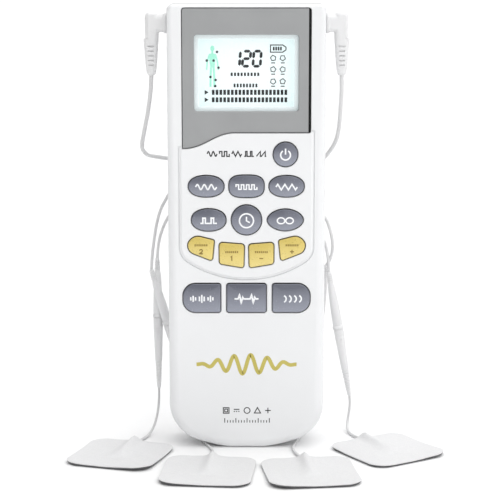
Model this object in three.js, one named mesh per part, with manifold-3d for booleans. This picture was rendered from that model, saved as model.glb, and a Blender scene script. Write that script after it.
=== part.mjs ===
// A hand-held two-channel nerve stimulator (TENS unit) standing on its rounded lower end,
// with both lead sets plugged in and its four electrode pads lying in front of it.
// Millimetres. +Z up, +X to the right of the display, the keypad faces -Y.
// The origin is the middle of the small flat at the foot of the case.
import * as THREE from "three";
import { mergeVertices } from "three/addons/utils/BufferGeometryUtils.js";
import Module from "manifold-3d";

const wasm = await Module();
wasm.setup();

// ---------------------------------------------------------------- driving dimensions
const CASE_WIDTH = 65;
const CASE_HEIGHT = 186;
const CASE_FRONT = -12.5;
const CASE_BACK = 12.5;
const HALF_WIDTH = CASE_WIDTH / 2;
const TOP_RADIUS = 2.6;
const FOOT_HALF_WIDTH = 7;
const FOOT_ARC_RADIUS = 62;
const FOOT_ARC_END = THREE.MathUtils.degToRad(20);
const EDGE_INSET = 2.4;
const EDGE_DEPTH = 3;
const WALL = 2.2;
const PARTING = 4;
const GAP = 0.3;
const CAVITY_FRONT = CASE_FRONT + WALL;
const CAVITY_BACK = 9.7;

const ISLAND_HALF_WIDTH = 27;
const ISLAND_HEIGHT = 0.6;
const ISLAND_SIDE_END = 83;
const ISLAND_LOW = 73.5;
const ISLAND_FRONT = CASE_FRONT - ISLAND_HEIGHT;

const PANEL_HALF_WIDTH = 26.2;
const PANEL_TOP = 184.4;
const PANEL_RIGHT_LOW = 134;
const PANEL_LEFT_LOW = 127.5;
const PANEL_CURVE_END = -4.7;
const PANEL_FRONT = -12.2;
const PANEL_THICKNESS = 0.8;
const WINDOW = { left: -21.3, right: 21.2, low: 142.7, high: 173.7, radius: 1.2 };

const BUTTON_PROUD = 0.9;
const BUTTON_CLEARANCE = 0.35;
const BUTTON_BEVEL = 0.35;
const FLANGE_GROWTH = 0.65;
const FLANGE_FRONT = -9.95;
const FLANGE_THICKNESS = 0.8;
const MAT_FRONT = -7.7;
const MAT_THICKNESS = 0.8;
const DOME_HEIGHT = 0.55;

const BOARD_FRONT = -6.2;
const BOARD_THICKNESS = 1.6;
const BOARD_BACK = BOARD_FRONT + BOARD_THICKNESS;

const JACK_HEIGHT = 178;
const JACK_BORE_RADIUS = 1.55;
const JACK_NOSE_RADIUS = 2.7;
const JACK_BODY = { inner: 19, outer: 30, depth: 8, height: 7.4 };
const JACK_BORE_END = 20.6;

const BATTERY_RADIUS = 5.25;
const BATTERY_LENGTH = 43.2;
const BATTERY_PITCH = 11.2;
const BATTERY_LOW = 43.8;
const BATTERY_Y = 3.9;
const BAY = { halfWidth: 17.9, low: 41, high: 89.8 };
const BAY_WALL = 1.2;
const BAY_WALL_FRONT = 4.3;
const DOOR = { halfWidth: 20, low: 38.2, high: 92.1, front: 11.1, back: 12.4 };
const DOOR_RUN = 8;
const RECESS_FLOOR = 10.8;
const TONGUE = { halfWidth: 4, length: 1.8, front: 11.1, back: 11.8 };

const SCREW_HEIGHT = 22;
const SCREW_HEAD_RADIUS = 2.3;
const SCREW_SHANK_RADIUS = 1.25;

const PLUG_AXIS_X = 39.4;
const PLUG_TIP_RADIUS = 1.25;
const PLUG_FOOT = 157.2;
const MAIN_DIAMETER = 1.7;
const BRANCH_DIAMETER = 1.3;
const PIGTAIL_DIAMETER = 1.1;
const YOKE_LENGTH = 8.9;
const CONNECTOR_LENGTH = 25.5;
const SOCKET_LENGTH = 30.6;
const PIN_RADIUS = 0.95;
const PIN_LENGTH = 9;
const PAD_SIDE = 37;
const PAD_CORNER = 6.5;
const PAD_THICKNESS = 1.6;

// ---------------------------------------------------------------- solids and helpers
function toSolid(geometry) {
  const plain = geometry.clone();
  plain.deleteAttribute("normal");
  plain.deleteAttribute("uv");
  const merged = mergeVertices(plain, 1e-4);
  return new wasm.Manifold(new wasm.Mesh({
    numProp: 3,
    vertProperties: new Float32Array(merged.attributes.position.array),
    triVerts: new Uint32Array(merged.index.array),
  }));
}

function toGeometry(solid) {
  const { vertProperties, triVerts } = solid.getMesh();
  const geometry = new THREE.BufferGeometry();
  geometry.setAttribute("position", new THREE.BufferAttribute(vertProperties, 3));
  geometry.setIndex(new THREE.BufferAttribute(triVerts, 1));
  geometry.computeVertexNormals();
  return geometry;
}

function finish(color, roughness, metalness = 0) {
  return new THREE.MeshStandardMaterial({ color, roughness, metalness });
}

function named(name, geometry, material) {
  const mesh = new THREE.Mesh(geometry, material);
  mesh.name = name;
  return mesh;
}

// A point list along an arc; angles in radians, measured from +X towards +Z.
function arc(centreX, centreZ, radius, from, to, steps) {
  const points = [];
  for (let i = 0; i <= steps; i += 1) {
    const angle = from + ((to - from) * i) / steps;
    points.push(new THREE.Vector2(centreX + radius * Math.cos(angle), centreZ + radius * Math.sin(angle)));
  }
  return points;
}

// A convex outline whose corners [x, z, radius] are rounded, listed anticlockwise.
function roundedOutline(corners, steps = 4) {
  const points = [];
  corners.forEach(([x, z, radius], i) => {
    const corner = new THREE.Vector2(x, z);
    const before = corners[(i + corners.length - 1) % corners.length];
    const after = corners[(i + 1) % corners.length];
    const toBefore = new THREE.Vector2(before[0] - x, before[1] - z).normalize();
    const toAfter = new THREE.Vector2(after[0] - x, after[1] - z).normalize();
    const half = Math.acos(toBefore.dot(toAfter)) / 2;
    const bisector = toBefore.clone().add(toAfter).normalize();
    const centre = corner.clone().addScaledVector(bisector, radius / Math.sin(half));
    const start = corner.clone().addScaledVector(toBefore, radius / Math.tan(half)).sub(centre).angle();
    const turn = Math.PI - 2 * half;
    points.push(...arc(centre.x, centre.y, radius, start, start + turn, steps));
  });
  return points;
}

function rectangle(left, right, low, high, radius = 0.4, steps = 2) {
  const corners = [[left, low], [right, low], [right, high], [left, high]];
  return roundedOutline(corners.map(([x, z]) => [x, z, radius]), steps);
}

// An oval of half width a and half height b; power 2 is an ellipse, more is squarer.
function oval(centreX, centreZ, a, b, power = 2, steps = 24) {
  const points = [];
  for (let i = 0; i < steps; i += 1) {
    const angle = (2 * Math.PI * i) / steps;
    const c = Math.cos(angle);
    const s = Math.sin(angle);
    const x = Math.sign(c) * Math.abs(c) ** (2 / power);
    const z = Math.sign(s) * Math.abs(s) ** (2 / power);
    points.push(new THREE.Vector2(centreX + a * x, centreZ + b * z));
  }
  return points;
}

// The same outline moved outwards (or inwards, when the distance is negative).
function grow(outline, distance) {
  return outline.map((point, i) => {
    const before = outline[(i + outline.length - 1) % outline.length];
    const after = outline[(i + 1) % outline.length];
    const along = point.clone().sub(before).normalize();
    const onward = after.clone().sub(point).normalize();
    const normal = new THREE.Vector2(along.y + onward.y, -along.x - onward.x).normalize();
    const spread = Math.max(0.5, normal.dot(new THREE.Vector2(along.y, -along.x)));
    return point.clone().addScaledVector(normal, distance / spread);
  });
}

function mirrored(outline) {
  return outline.map((point) => new THREE.Vector2(-point.x, point.y)).reverse();
}

// A slab with an outline in X and Z, from one Y to a larger one, its edges rounded if asked.
function slab(outline, front, back, rounding = { inset: 0, depth: 0, steps: 1 }) {
  const depth = back - front - 2 * rounding.depth;
  const geometry = new THREE.ExtrudeGeometry(new THREE.Shape(outline), {
    depth,
    bevelEnabled: rounding.depth > 0,
    bevelSize: rounding.inset,
    bevelOffset: -rounding.inset,
    bevelThickness: rounding.depth,
    bevelSegments: rounding.steps,
  });
  geometry.translate(0, 0, rounding.depth - back);
  geometry.rotateX(Math.PI / 2);
  return geometry;
}

function block(left, right, front, back, low, high) {
  const geometry = new THREE.BoxGeometry(right - left, back - front, high - low);
  geometry.translate((left + right) / 2, (front + back) / 2, (low + high) / 2);
  return geometry;
}

function rod(radius, from, to, sides = 16) {
  const start = new THREE.Vector3(...from);
  const run = new THREE.Vector3(...to).sub(start);
  const geometry = new THREE.CylinderGeometry(radius, radius, run.length(), sides);
  geometry.translate(0, run.length() / 2, 0);
  geometry.applyQuaternion(directionTurn(run));
  geometry.translate(start.x, start.y, start.z);
  return geometry;
}

function directionTurn(direction) {
  const unit = direction.clone().normalize();
  return new THREE.Quaternion().setFromUnitVectors(new THREE.Vector3(0, 1, 0), unit);
}

function joined(...geometries) {
  return geometries.map(toSolid).reduce((sum, solid) => sum.add(solid));
}

function cut(solid, ...tools) {
  return tools.map(toSolid).reduce((rest, tool) => rest.subtract(tool), solid);
}

// ---------------------------------------------------------------- outlines of the case
function caseOutline() {
  const down = -Math.PI / 2;
  const centreZ = Math.sqrt(FOOT_ARC_RADIUS ** 2 - FOOT_HALF_WIDTH ** 2);
  const footAngle = Math.asin(FOOT_HALF_WIDTH / FOOT_ARC_RADIUS);
  const reach = FOOT_ARC_RADIUS * Math.sin(FOOT_ARC_END);
  const cornerRadius = (HALF_WIDTH - reach) / (1 - Math.sin(FOOT_ARC_END));
  const cornerX = HALF_WIDTH - cornerRadius;
  const cornerZ = centreZ - (FOOT_ARC_RADIUS - cornerRadius) * Math.cos(FOOT_ARC_END);
  const right = [
    ...arc(0, centreZ, FOOT_ARC_RADIUS, down + footAngle, down + FOOT_ARC_END, 3),
    ...arc(cornerX, cornerZ, cornerRadius, down + FOOT_ARC_END, 0, 7).slice(1),
    ...arc(HALF_WIDTH - TOP_RADIUS, CASE_HEIGHT - TOP_RADIUS, TOP_RADIUS, 0, Math.PI / 2, 4),
  ];
  return [...right, ...mirrored(right)];
}

// The S-shaped lower edge of the display panel, from its low left end to its high right run.
function panelCurve() {
  const curve = new THREE.CubicBezierCurve(
    new THREE.Vector2(-PANEL_HALF_WIDTH, PANEL_LEFT_LOW),
    new THREE.Vector2(-17, PANEL_LEFT_LOW),
    new THREE.Vector2(-13.5, PANEL_RIGHT_LOW),
    new THREE.Vector2(PANEL_CURVE_END, PANEL_RIGHT_LOW),
  );
  return curve.getPoints(10);
}

function panelOutline() {
  const right = PANEL_HALF_WIDTH;
  return [
    ...panelCurve(),
    new THREE.Vector2(right, PANEL_RIGHT_LOW),
    ...arc(right - 1, PANEL_TOP - 1, 1, 0, Math.PI / 2, 2),
    ...arc(1 - right, PANEL_TOP - 1, 1, Math.PI / 2, Math.PI, 2),
  ];
}

function islandOutline() {
  const half = ISLAND_HALF_WIDTH;
  const sag = ISLAND_SIDE_END - ISLAND_LOW;
  const radius = (half ** 2 + sag ** 2) / (2 * sag);
  const swing = Math.asin(half / radius);
  const upperEdge = panelCurve().map((point) => new THREE.Vector2(point.x, point.y - 0.8));
  return [
    ...arc(0, ISLAND_LOW + radius, radius, -Math.PI / 2 - swing, -Math.PI / 2 + swing, 12),
    new THREE.Vector2(half, PANEL_RIGHT_LOW - 0.8),
    ...upperEdge.reverse(),
    new THREE.Vector2(-half, PANEL_LEFT_LOW - 0.8),
  ];
}

function windowOutline(margin = 0) {
  const { left, right, low, high, radius } = WINDOW;
  return rectangle(left - margin, right + margin, low - margin, high + margin, radius, 3);
}

// ---------------------------------------------------------------- the fourteen keys
const KEY_GREY = 0x7b808c;
const KEY_GOLD = 0xd9bf62;
const sideChannelKey = roundedOutline([
  [-14.2, 80.7, 0.8], [-13.3, 89.4, 0.8], [-21.6, 91.5, 4.3], [-24.6, 87.9, 3.2], [-23.6, 84.4, 3.5],
]);
const innerChannelKey = roundedOutline([
  [-11.2, 79.5, 1.2], [-1.2, 77.8, 0.9], [-0.9, 87.7, 1.3], [-11.3, 88.5, 1.3],
]);
const endModeKey = roundedOutline([
  [-26.4, 58.8, 5.2], [-10.8, 58.8, 1], [-10.8, 71, 1], [-26.4, 71, 5.2],
], 5);

const KEYS = [
  { name: "power_button", outline: oval(16, 125.1, 5, 5), color: KEY_GREY },
  { name: "program_1_button", outline: oval(-16.6, 111.9, 7.3, 4.4, 2.2), color: KEY_GREY },
  { name: "program_2_button", outline: oval(0, 111.9, 7.2, 4.6, 2.9), color: KEY_GREY },
  { name: "program_3_button", outline: oval(16.5, 111.9, 7.2, 4.4, 2.2), color: KEY_GREY },
  { name: "program_4_button", outline: oval(-15.6, 97.9, 7.1, 4.6, 2.15), color: KEY_GREY },
  { name: "timer_button", outline: oval(0, 97.9, 6.2, 6.2), color: KEY_GREY },
  { name: "continuous_button", outline: oval(16, 97.9, 7.4, 4.5, 1.85), color: KEY_GREY },
  { name: "channel_2_button", outline: sideChannelKey, color: KEY_GOLD },
  { name: "channel_1_button", outline: innerChannelKey, color: KEY_GOLD },
  { name: "intensity_down_button", outline: mirrored(innerChannelKey), color: KEY_GOLD },
  { name: "intensity_up_button", outline: mirrored(sideChannelKey), color: KEY_GOLD },
  { name: "mode_1_button", outline: endModeKey, color: KEY_GREY, low: true },
  { name: "mode_2_button", outline: rectangle(-8.2, 8.2, 58.8, 71, 1, 3), color: KEY_GREY, low: true },
  { name: "mode_3_button", outline: mirrored(endModeKey), color: KEY_GREY, low: true },
];

function middleOf(outline) {
  const box = new THREE.Box2().setFromPoints(outline);
  return box.getCenter(new THREE.Vector2());
}

function key({ name, outline, color, low }) {
  const front = (low ? CASE_FRONT : ISLAND_FRONT) - BUTTON_PROUD;
  const rounding = { inset: BUTTON_BEVEL, depth: BUTTON_BEVEL, steps: 1 };
  const flangeBack = FLANGE_FRONT + FLANGE_THICKNESS;
  const cap = slab(outline, front, flangeBack - BUTTON_BEVEL, rounding);
  const flange = slab(grow(outline, FLANGE_GROWTH), FLANGE_FRONT, flangeBack);
  return named(name, toGeometry(joined(cap, flange)), finish(color, 0.3));
}

function keypadMat() {
  const plate = slab(rectangle(-28, 28, 55, 131.4, 2), MAT_FRONT, MAT_FRONT + MAT_THICKNESS);
  const domes = KEYS.map(({ outline }) => {
    const { x, y: z } = middleOf(outline);
    const dome = new THREE.CylinderGeometry(1.6, 2.6, DOME_HEIGHT + 0.2, 10);
    dome.rotateX(Math.PI);
    dome.translate(x, MAT_FRONT - DOME_HEIGHT / 2 + 0.1, z);
    return dome;
  });
  return named("keypad_mat", toGeometry(joined(plate, ...domes)), finish(0xb8bcc0, 0.8));
}

// ---------------------------------------------------------------- the case
function caseHalf(front, back) {
  const rounding = { inset: EDGE_INSET, depth: EDGE_DEPTH, steps: 3 };
  const whole = toSolid(slab(caseOutline(), CASE_FRONT, CASE_BACK, rounding));
  const half = toSolid(block(-HALF_WIDTH - 1, HALF_WIDTH + 1, front, back, -1, CASE_HEIGHT + 1));
  const cavity = toSolid(slab(grow(caseOutline(), -WALL), CAVITY_FRONT, CAVITY_BACK));
  return whole.intersect(half).subtract(cavity);
}

function frontShell() {
  const island = slab(islandOutline(), ISLAND_FRONT, CAVITY_FRONT - 1);
  const boss = rod(3, [0, CAVITY_FRONT - 0.5, SCREW_HEIGHT], [0, PARTING, SCREW_HEIGHT]);
  const pilot = rod(SCREW_SHANK_RADIUS + GAP, [0, -6, SCREW_HEIGHT], [0, PARTING + 1, SCREW_HEIGHT]);
  const recessFloor = PANEL_FRONT + PANEL_THICKNESS + GAP;
  const panelRecess = slab(grow(panelOutline(), GAP), CASE_FRONT - 1, recessFloor);
  const opening = slab(windowOutline(2.2), CASE_FRONT - 1, CAVITY_FRONT + 1);
  const keyHoles = KEYS.map(({ outline }) =>
    slab(grow(outline, BUTTON_CLEARANCE), ISLAND_FRONT - 1, CAVITY_FRONT + 1));
  const jackHoles = [-1, 1].map((side) =>
    rod(JACK_NOSE_RADIUS + GAP, [side * 28, 0, JACK_HEIGHT], [side * 34, 0, JACK_HEIGHT]));
  const walls = caseHalf(CASE_FRONT - 1, PARTING).add(toSolid(island)).add(toSolid(boss));
  const solid = cut(walls, pilot, panelRecess, opening, ...keyHoles, ...jackHoles);
  return named("front_shell", toGeometry(solid), finish(0xf4f4f5, 0.25));
}

function rearShell() {
  const { halfWidth, low, high } = BAY;
  const side = halfWidth + BAY_WALL;
  const bayWalls = block(-side, side, BAY_WALL_FRONT + GAP, CAVITY_BACK + 0.5, low - BAY_WALL, high + BAY_WALL);
  const bossBack = CAVITY_BACK + 0.5;
  const boss = rod(4.2, [0, PARTING + GAP, SCREW_HEIGHT], [0, bossBack, SCREW_HEIGHT]);
  const bay = block(-halfWidth, halfWidth, BAY_WALL_FRONT - 1, CASE_BACK + 1, low, high);
  const recess = slab(
    rectangle(-DOOR.halfWidth - GAP, DOOR.halfWidth + GAP, DOOR.low - DOOR_RUN - GAP, DOOR.high + GAP, 1.5, 3),
    RECESS_FLOOR,
    CASE_BACK + 1,
  );
  const notch = block(
    -TONGUE.halfWidth - GAP, TONGUE.halfWidth + GAP,
    TONGUE.front - GAP, TONGUE.back + GAP,
    DOOR.high - 1, DOOR.high + TONGUE.length + GAP,
  );
  const counterbore = rod(SCREW_HEAD_RADIUS + 0.6, [0, 8.5, SCREW_HEIGHT], [0, 14, SCREW_HEIGHT]);
  const hole = rod(SCREW_SHANK_RADIUS + GAP, [0, PARTING - 1, SCREW_HEIGHT], [0, 9, SCREW_HEIGHT]);
  const walls = caseHalf(PARTING + GAP, CASE_BACK + 1).add(toSolid(bayWalls)).add(toSolid(boss));
  const solid = cut(walls, bay, recess, notch, counterbore, hole);
  return named("rear_shell", toGeometry(solid), finish(0xf4f4f5, 0.25));
}

function caseScrew() {
  const shankStart = 8.8;
  const headTop = 10.6;
  const head = rod(SCREW_HEAD_RADIUS, [0, shankStart, SCREW_HEIGHT], [0, headTop, SCREW_HEIGHT]);
  const shank = rod(SCREW_SHANK_RADIUS, [0, -5, SCREW_HEIGHT], [0, shankStart + 0.5, SCREW_HEIGHT], 12);
  const slotUp = block(-0.3, 0.3, headTop - 1, headTop + 1, SCREW_HEIGHT - 1.4, SCREW_HEIGHT + 1.4);
  const slotAcross = block(-1.4, 1.4, headTop - 1, headTop + 1, SCREW_HEIGHT - 0.3, SCREW_HEIGHT + 0.3);
  const solid = cut(joined(head, shank), slotUp, slotAcross);
  return named("case_screw", toGeometry(solid), finish(0xb9bcc0, 0.35, 1));
}

function batteryDoor() {
  const { halfWidth, low, high, front, back } = DOOR;
  const plate = slab(rectangle(-halfWidth, halfWidth, low, high, 1.2, 3), front, back);
  const tongueTop = high + TONGUE.length;
  const tongue = block(
    -TONGUE.halfWidth, TONGUE.halfWidth, TONGUE.front, TONGUE.back, high - 1, tongueTop,
  );
  const ridges = [0, 1, 2, 3].map((i) =>
    block(-6, 6, back - 0.3, back + 0.35, low + 4 + 2 * i, low + 4.8 + 2 * i));
  return named("battery_door", toGeometry(joined(plate, tongue, ...ridges)), finish(0xf4f4f5, 0.3));
}

// ---------------------------------------------------------------- the display
function displayPanel() {
  const plate = slab(panelOutline(), PANEL_FRONT, PANEL_FRONT + PANEL_THICKNESS);
  const opening = slab(windowOutline(), PANEL_FRONT - 1, PANEL_FRONT + PANEL_THICKNESS + 1);
  const solid = cut(toSolid(plate), opening);
  return named("display_panel", toGeometry(solid), finish(0x9b9c9b, 0.35));
}

function lcdWindow() {
  const front = PANEL_FRONT + PANEL_THICKNESS + GAP;
  return named("lcd_window", slab(windowOutline(1.7), front, front + 0.9), finish(0xdff0ee, 0.1));
}

function lcdModule() {
  return named("lcd_module", block(-25, 25, -9.8, -7.6, 138.6, 177.6), finish(0xcfd8d0, 0.4));
}

// ---------------------------------------------------------------- inside the case
function circuitBoard() {
  const outline = roundedOutline([
    [-20, 29, 2], [20, 29, 2], [28.5, 40, 2], [28.5, 182.5, 2], [-28.5, 182.5, 2], [-28.5, 40, 2],
  ], 2);
  return named("circuit_board", slab(outline, BOARD_FRONT, BOARD_BACK), finish(0x2f6b43, 0.6));
}

// One ferrite core with its winding for each output channel.
function transformer(name, x) {
  const front = BOARD_BACK + GAP;
  const core = block(x - 6.5, x + 6.5, front, front + 8, 143, 153);
  const winding = block(x - 4, x + 4, front + 0.8, front + 7.2, 141, 155);
  return named(name, toGeometry(joined(core, winding)), finish(0x2b2b2e, 0.6));
}

function battery(name, x, pole) {
  const low = pole > 0 ? BATTERY_LOW : BATTERY_LOW + 1.2;
  const nubEnd = pole > 0 ? low + BATTERY_LENGTH + 1.2 : low - 1.2;
  const can = rod(BATTERY_RADIUS, [x, BATTERY_Y, low], [x, BATTERY_Y, low + BATTERY_LENGTH], 16);
  const nub = rod(1.9, [x, BATTERY_Y, low + BATTERY_LENGTH / 2], [x, BATTERY_Y, nubEnd], 10);
  return named(name, toGeometry(joined(can, nub)), finish(0x5b6b7a, 0.35, 0.6));
}

// A sprung plate that bridges the cells at one end of the bay.
function contactPlate(name, low, springDirection) {
  const plate = block(-17.3, 17.3, -1, 8.8, low, low + 0.5);
  const springs = [-1, 0, 1].map((i) => {
    const spring = new THREE.CylinderGeometry(1.4, 2.2, 0.8, 10);
    spring.rotateX((springDirection * Math.PI) / 2);
    spring.translate(i * BATTERY_PITCH, BATTERY_Y, low + 0.25 + springDirection * 0.5);
    return spring;
  });
  return named(name, toGeometry(joined(plate, ...springs)), finish(0xc8c8cc, 0.3, 1));
}

// ---------------------------------------------------------------- the lead sockets and plugs
function jack(name, side) {
  const { inner, outer, depth, height } = JACK_BODY;
  const ends = [side * inner, side * outer].sort((a, b) => a - b);
  const body = block(...ends, -depth / 2, depth / 2, JACK_HEIGHT - height / 2, JACK_HEIGHT + height / 2);
  const nose = rod(JACK_NOSE_RADIUS, [side * (outer - 1), 0, JACK_HEIGHT], [side * 32.2, 0, JACK_HEIGHT]);
  const bore = rod(JACK_BORE_RADIUS, [side * JACK_BORE_END, 0, JACK_HEIGHT], [side * 33, 0, JACK_HEIGHT], 14);
  return named(name, toGeometry(cut(joined(body, nose), bore)), finish(0x1d1d20, 0.5));
}

// The right-angled plug: a short arm against the case and a barrel that hangs down.
function plugBody(name, side) {
  const face = HALF_WIDTH + GAP;
  const arm = rod(3.9, [side * face, 0, JACK_HEIGHT], [side * (PLUG_AXIS_X - 1), 0, JACK_HEIGHT], 18);
  const profile = [
    [0, PLUG_FOOT], [1.7, PLUG_FOOT], [2.3, 159], [2.55, 163], [2.9, 169], [3.1, 173], [3.2, 180.4],
    [2.4, 182.1], [0, 182.4],
  ];
  const barrel = new THREE.LatheGeometry(profile.map(([r, z]) => new THREE.Vector2(r, z)), 16);
  barrel.rotateX(Math.PI / 2);
  barrel.translate(side * PLUG_AXIS_X, 0, 0);
  return named(name, toGeometry(joined(arm, barrel)), finish(0xf2f2f2, 0.4));
}

function plugTip(name, side) {
  const profile = [[0, 0], [PLUG_TIP_RADIUS, 0], [PLUG_TIP_RADIUS, 8.4], [0.9, 9], [1.2, 10], [0, 11.2]];
  const geometry = new THREE.LatheGeometry(profile.map(([r, y]) => new THREE.Vector2(r, y)), 12);
  const tip = named(name, geometry, finish(0xc9c9cc, 0.2, 1));
  tip.position.set(side * HALF_WIDTH, 0, JACK_HEIGHT);
  tip.quaternion.copy(directionTurn(new THREE.Vector3(-side, 0, 0)));
  return tip;
}

// ---------------------------------------------------------------- the leads
function tube(name, route, diameter, steps) {
  const curve = new THREE.CatmullRomCurve3(route.map((point) => new THREE.Vector3(...point)));
  const section = new THREE.Shape(arc(0, 0, diameter / 2, 0, (7 / 4) * Math.PI, 7));
  const geometry = new THREE.ExtrudeGeometry(section, { steps, extrudePath: curve, bevelEnabled: false });
  return named(name, geometry, finish(0xf1f1f1, 0.5));
}

// A part that is round about its own axis, laid from a start point towards an end point.
function turned(name, profile, start, end, color) {
  const origin = new THREE.Vector3(...start);
  const geometry = new THREE.LatheGeometry(profile.map(([r, y]) => new THREE.Vector2(r, y)), 12);
  const part = named(name, geometry, finish(color, 0.4));
  part.position.copy(origin);
  part.quaternion.copy(directionTurn(new THREE.Vector3(...end).sub(origin)));
  return part;
}

function yoke(name, start, end) {
  const outline = roundedOutline([
    [-1.4, 0, 0.8], [1.4, 0, 0.8], [2.4, YOKE_LENGTH, 1.2], [-2.4, YOKE_LENGTH, 1.2],
  ], 3);
  const origin = new THREE.Vector3(...start);
  const geometry = slab(outline, -1.4, 1.4, { inset: 0.5, depth: 0.5, steps: 1 });
  const part = named(name, geometry, finish(0xf2f2f2, 0.4));
  const along = new THREE.Vector3(...end).sub(origin).normalize();
  part.position.copy(origin);
  part.rotation.y = Math.atan2(along.x, along.z);
  return part;
}

function pinConnector(name, start, end) {
  const boot = CONNECTOR_LENGTH;
  const profile = [
    [0, 0], [0.95, 0], [1.1, 5], [1.5, 6.5], [1.9, 15], [2.1, 24], [2.35, 24.3], [2.35, boot],
    [PIN_RADIUS, boot], [PIN_RADIUS, boot + PIN_LENGTH], [0, boot + PIN_LENGTH + 0.6],
  ];
  return turned(name, profile, start, end, 0xf2f2f2);
}

function leadSocket(name, start, end) {
  const back = SOCKET_LENGTH;
  const bore = PIN_RADIUS + GAP;
  const profile = [
    [0, PIN_LENGTH + 1.4], [bore, PIN_LENGTH + 1.4], [bore, 0], [2.15, 0], [2.15, 3], [1.5, 19],
    [1.4, 20], [0.9, back], [0, back],
  ];
  const from = new THREE.Vector3(...start);
  const mouth = new THREE.Vector3(...end).sub(from).setLength(CONNECTOR_LENGTH + GAP).add(from);
  return turned(name, profile, mouth.toArray(), end, 0xf2f2f2);
}

function electrodePad(name, { x, y, turn }) {
  const half = PAD_SIDE / 2;
  const outline = rectangle(-half, half, -half, half, PAD_CORNER, 4);
  const geometry = slab(outline, 0, PAD_THICKNESS);
  geometry.rotateX(-Math.PI / 2);
  const pad = named(name, geometry, finish(0xf6f6f4, 0.9));
  pad.position.set(x, y, PAD_THICKNESS);
  pad.rotation.z = THREE.MathUtils.degToRad(turn);
  return pad;
}

// Where each lead set runs: the cord from the plug, the yoke behind the case and two branches.
const LEFT_LEADS = {
  side: -1,
  names: ["1", "2"],
  main: [
    [-39.4, 0, 156.9], [-39.9, 0.8, 149.5], [-41.3, 3.5, 140.7], [-43.3, 8, 131.6], [-44.3, 11, 126.3],
    [-43.9, 12.9, 123.7], [-42, 14.7, 121.6], [-38, 16, 120.6], [-33.3, 16.6, 120], [-26.7, 16.8, 120.6],
    [-20, 16.8, 121.2], [-14.6, 16.8, 119.2], [-12.9, 16.8, 115.1], [-15, 16.8, 111.7], [-18.3, 16.8, 110.5],
  ],
  yoke: [[-18.6, 16.8, 110.4], [-27.2, 16.8, 107.6]],
  branches: [
    {
      route: [
        [-27.4, 16.9, 106.5], [-29.7, 17.4, 102.1], [-31.8, 18.2, 97.9], [-33.6, 19.2, 94.5],
        [-35.7, 20.3, 90.5], [-37.5, 21.1, 85.5], [-38.5, 21.5, 80.5], [-38.85, 21.4, 75.8],
      ],
      connector: [[-38.9, 21.4, 75.3], [-38.3, 14.5, 19.5]],
      pigtail: [
        [-38.3, 14.45, 19.2], [-38.4, 14.4, 14], [-38.9, 13.4, 9], [-40, 10.4, 4.4], [-41.6, 6.2, 1.7],
        [-43.5, 1.4, 0.8], [-45.4, -3.1, 0.9], [-46.9, -5.95, 0.95],
      ],
      pad: { x: -52.5, y: -24, turn: -17 },
    },
    {
      route: [
        [-27.7, 16.8, 108.4], [-30.4, 16.7, 107.3], [-32.8, 16.4, 105.2], [-35, 15.9, 101.7],
        [-37.1, 15.3, 97.4], [-38.7, 14.6, 91.5], [-39.9, 13.9, 84.2], [-40.7, 13.3, 77.3],
        [-40.95, 13, 72.6],
      ],
      connector: [[-41, 13, 72.1], [-26, 19.4, 18.1]],
      pigtail: [
        [-25.9, 19.4, 17.8], [-25.2, 19.7, 12.5], [-24.5, 19.2, 7.2], [-23.9, 17.2, 3], [-23.2, 13.5, 1.1],
        [-21.9, 8, 0.75], [-20.2, 1, 0.75], [-18, -6, 0.75], [-15.6, -13, 0.75], [-14, -20.5, 0.8],
        [-13.85, -28.2, 0.95],
      ],
      pad: { x: -15.5, y: -47, turn: -5 },
    },
  ],
};

const RIGHT_LEADS = {
  side: 1,
  names: ["3", "4"],
  main: [
    [39.4, 0, 156.9], [39.5, 0.8, 150], [39.3, 3, 143.2], [38.9, 8, 133.9], [37.8, 12, 127.9],
    [35.6, 15, 123.4], [32.7, 16.4, 119.8], [28.1, 16.8, 116.6], [21.5, 16.8, 114], [14.3, 16.8, 112.7],
    [9.2, 16.8, 111.2], [5.7, 16.8, 108.1], [5.4, 16.8, 104.2], [8.4, 16.8, 101.6],
  ],
  yoke: [[8.8, 16.8, 101.4], [17.4, 16.8, 98.6]],
  branches: [
    {
      route: [
        [17.9, 16.8, 99.4], [22.3, 16.9, 98.9], [26.6, 17, 98.4], [30.3, 17, 97], [33.5, 17, 94.4],
        [35.3, 17, 91], [36.7, 17, 85.9], [37.2, 17, 81.1], [36.3, 17, 76.6], [34.6, 17, 73.2],
      ],
      connector: [[34.4, 17, 72.8], [27.6, 17.1, 16.8]],
      pigtail: [
        [27.5, 17.1, 16.5], [27, 17.3, 11], [26.6, 16.8, 6], [26.2, 14.5, 2.4], [25.2, 10, 0.95],
        [23.3, 3, 0.75], [21, -6, 0.75], [19.7, -13, 0.75], [20.1, -20, 0.75], [21.9, -25.6, 0.8],
        [23.55, -29.75, 0.95],
      ],
      pad: { x: 25.8, y: -48.5, turn: 7 },
    },
    {
      route: [
        [17.7, 16.8, 97.5], [22, 16.8, 95.4], [26.1, 16.8, 92.3], [30.3, 16.4, 88.2], [33.3, 15.2, 84.4],
        [34.4, 13.9, 81], [35.1, 12.4, 76.6], [35.35, 11.7, 71.7],
      ],
      connector: [[35.4, 11.6, 71.2], [45, 15, 15.7]],
      pigtail: [
        [45.05, 15.05, 15.4], [45.3, 16.2, 11.3], [44.9, 16.6, 7.2], [44.3, 15.4, 3.6], [44.1, 12, 1.4],
        [45, 7.4, 0.8], [46.7, 2.8, 0.85], [49.3, -1.55, 0.95],
      ],
      pad: { x: 59.3, y: -17.6, turn: 32 },
    },
  ],
};

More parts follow.
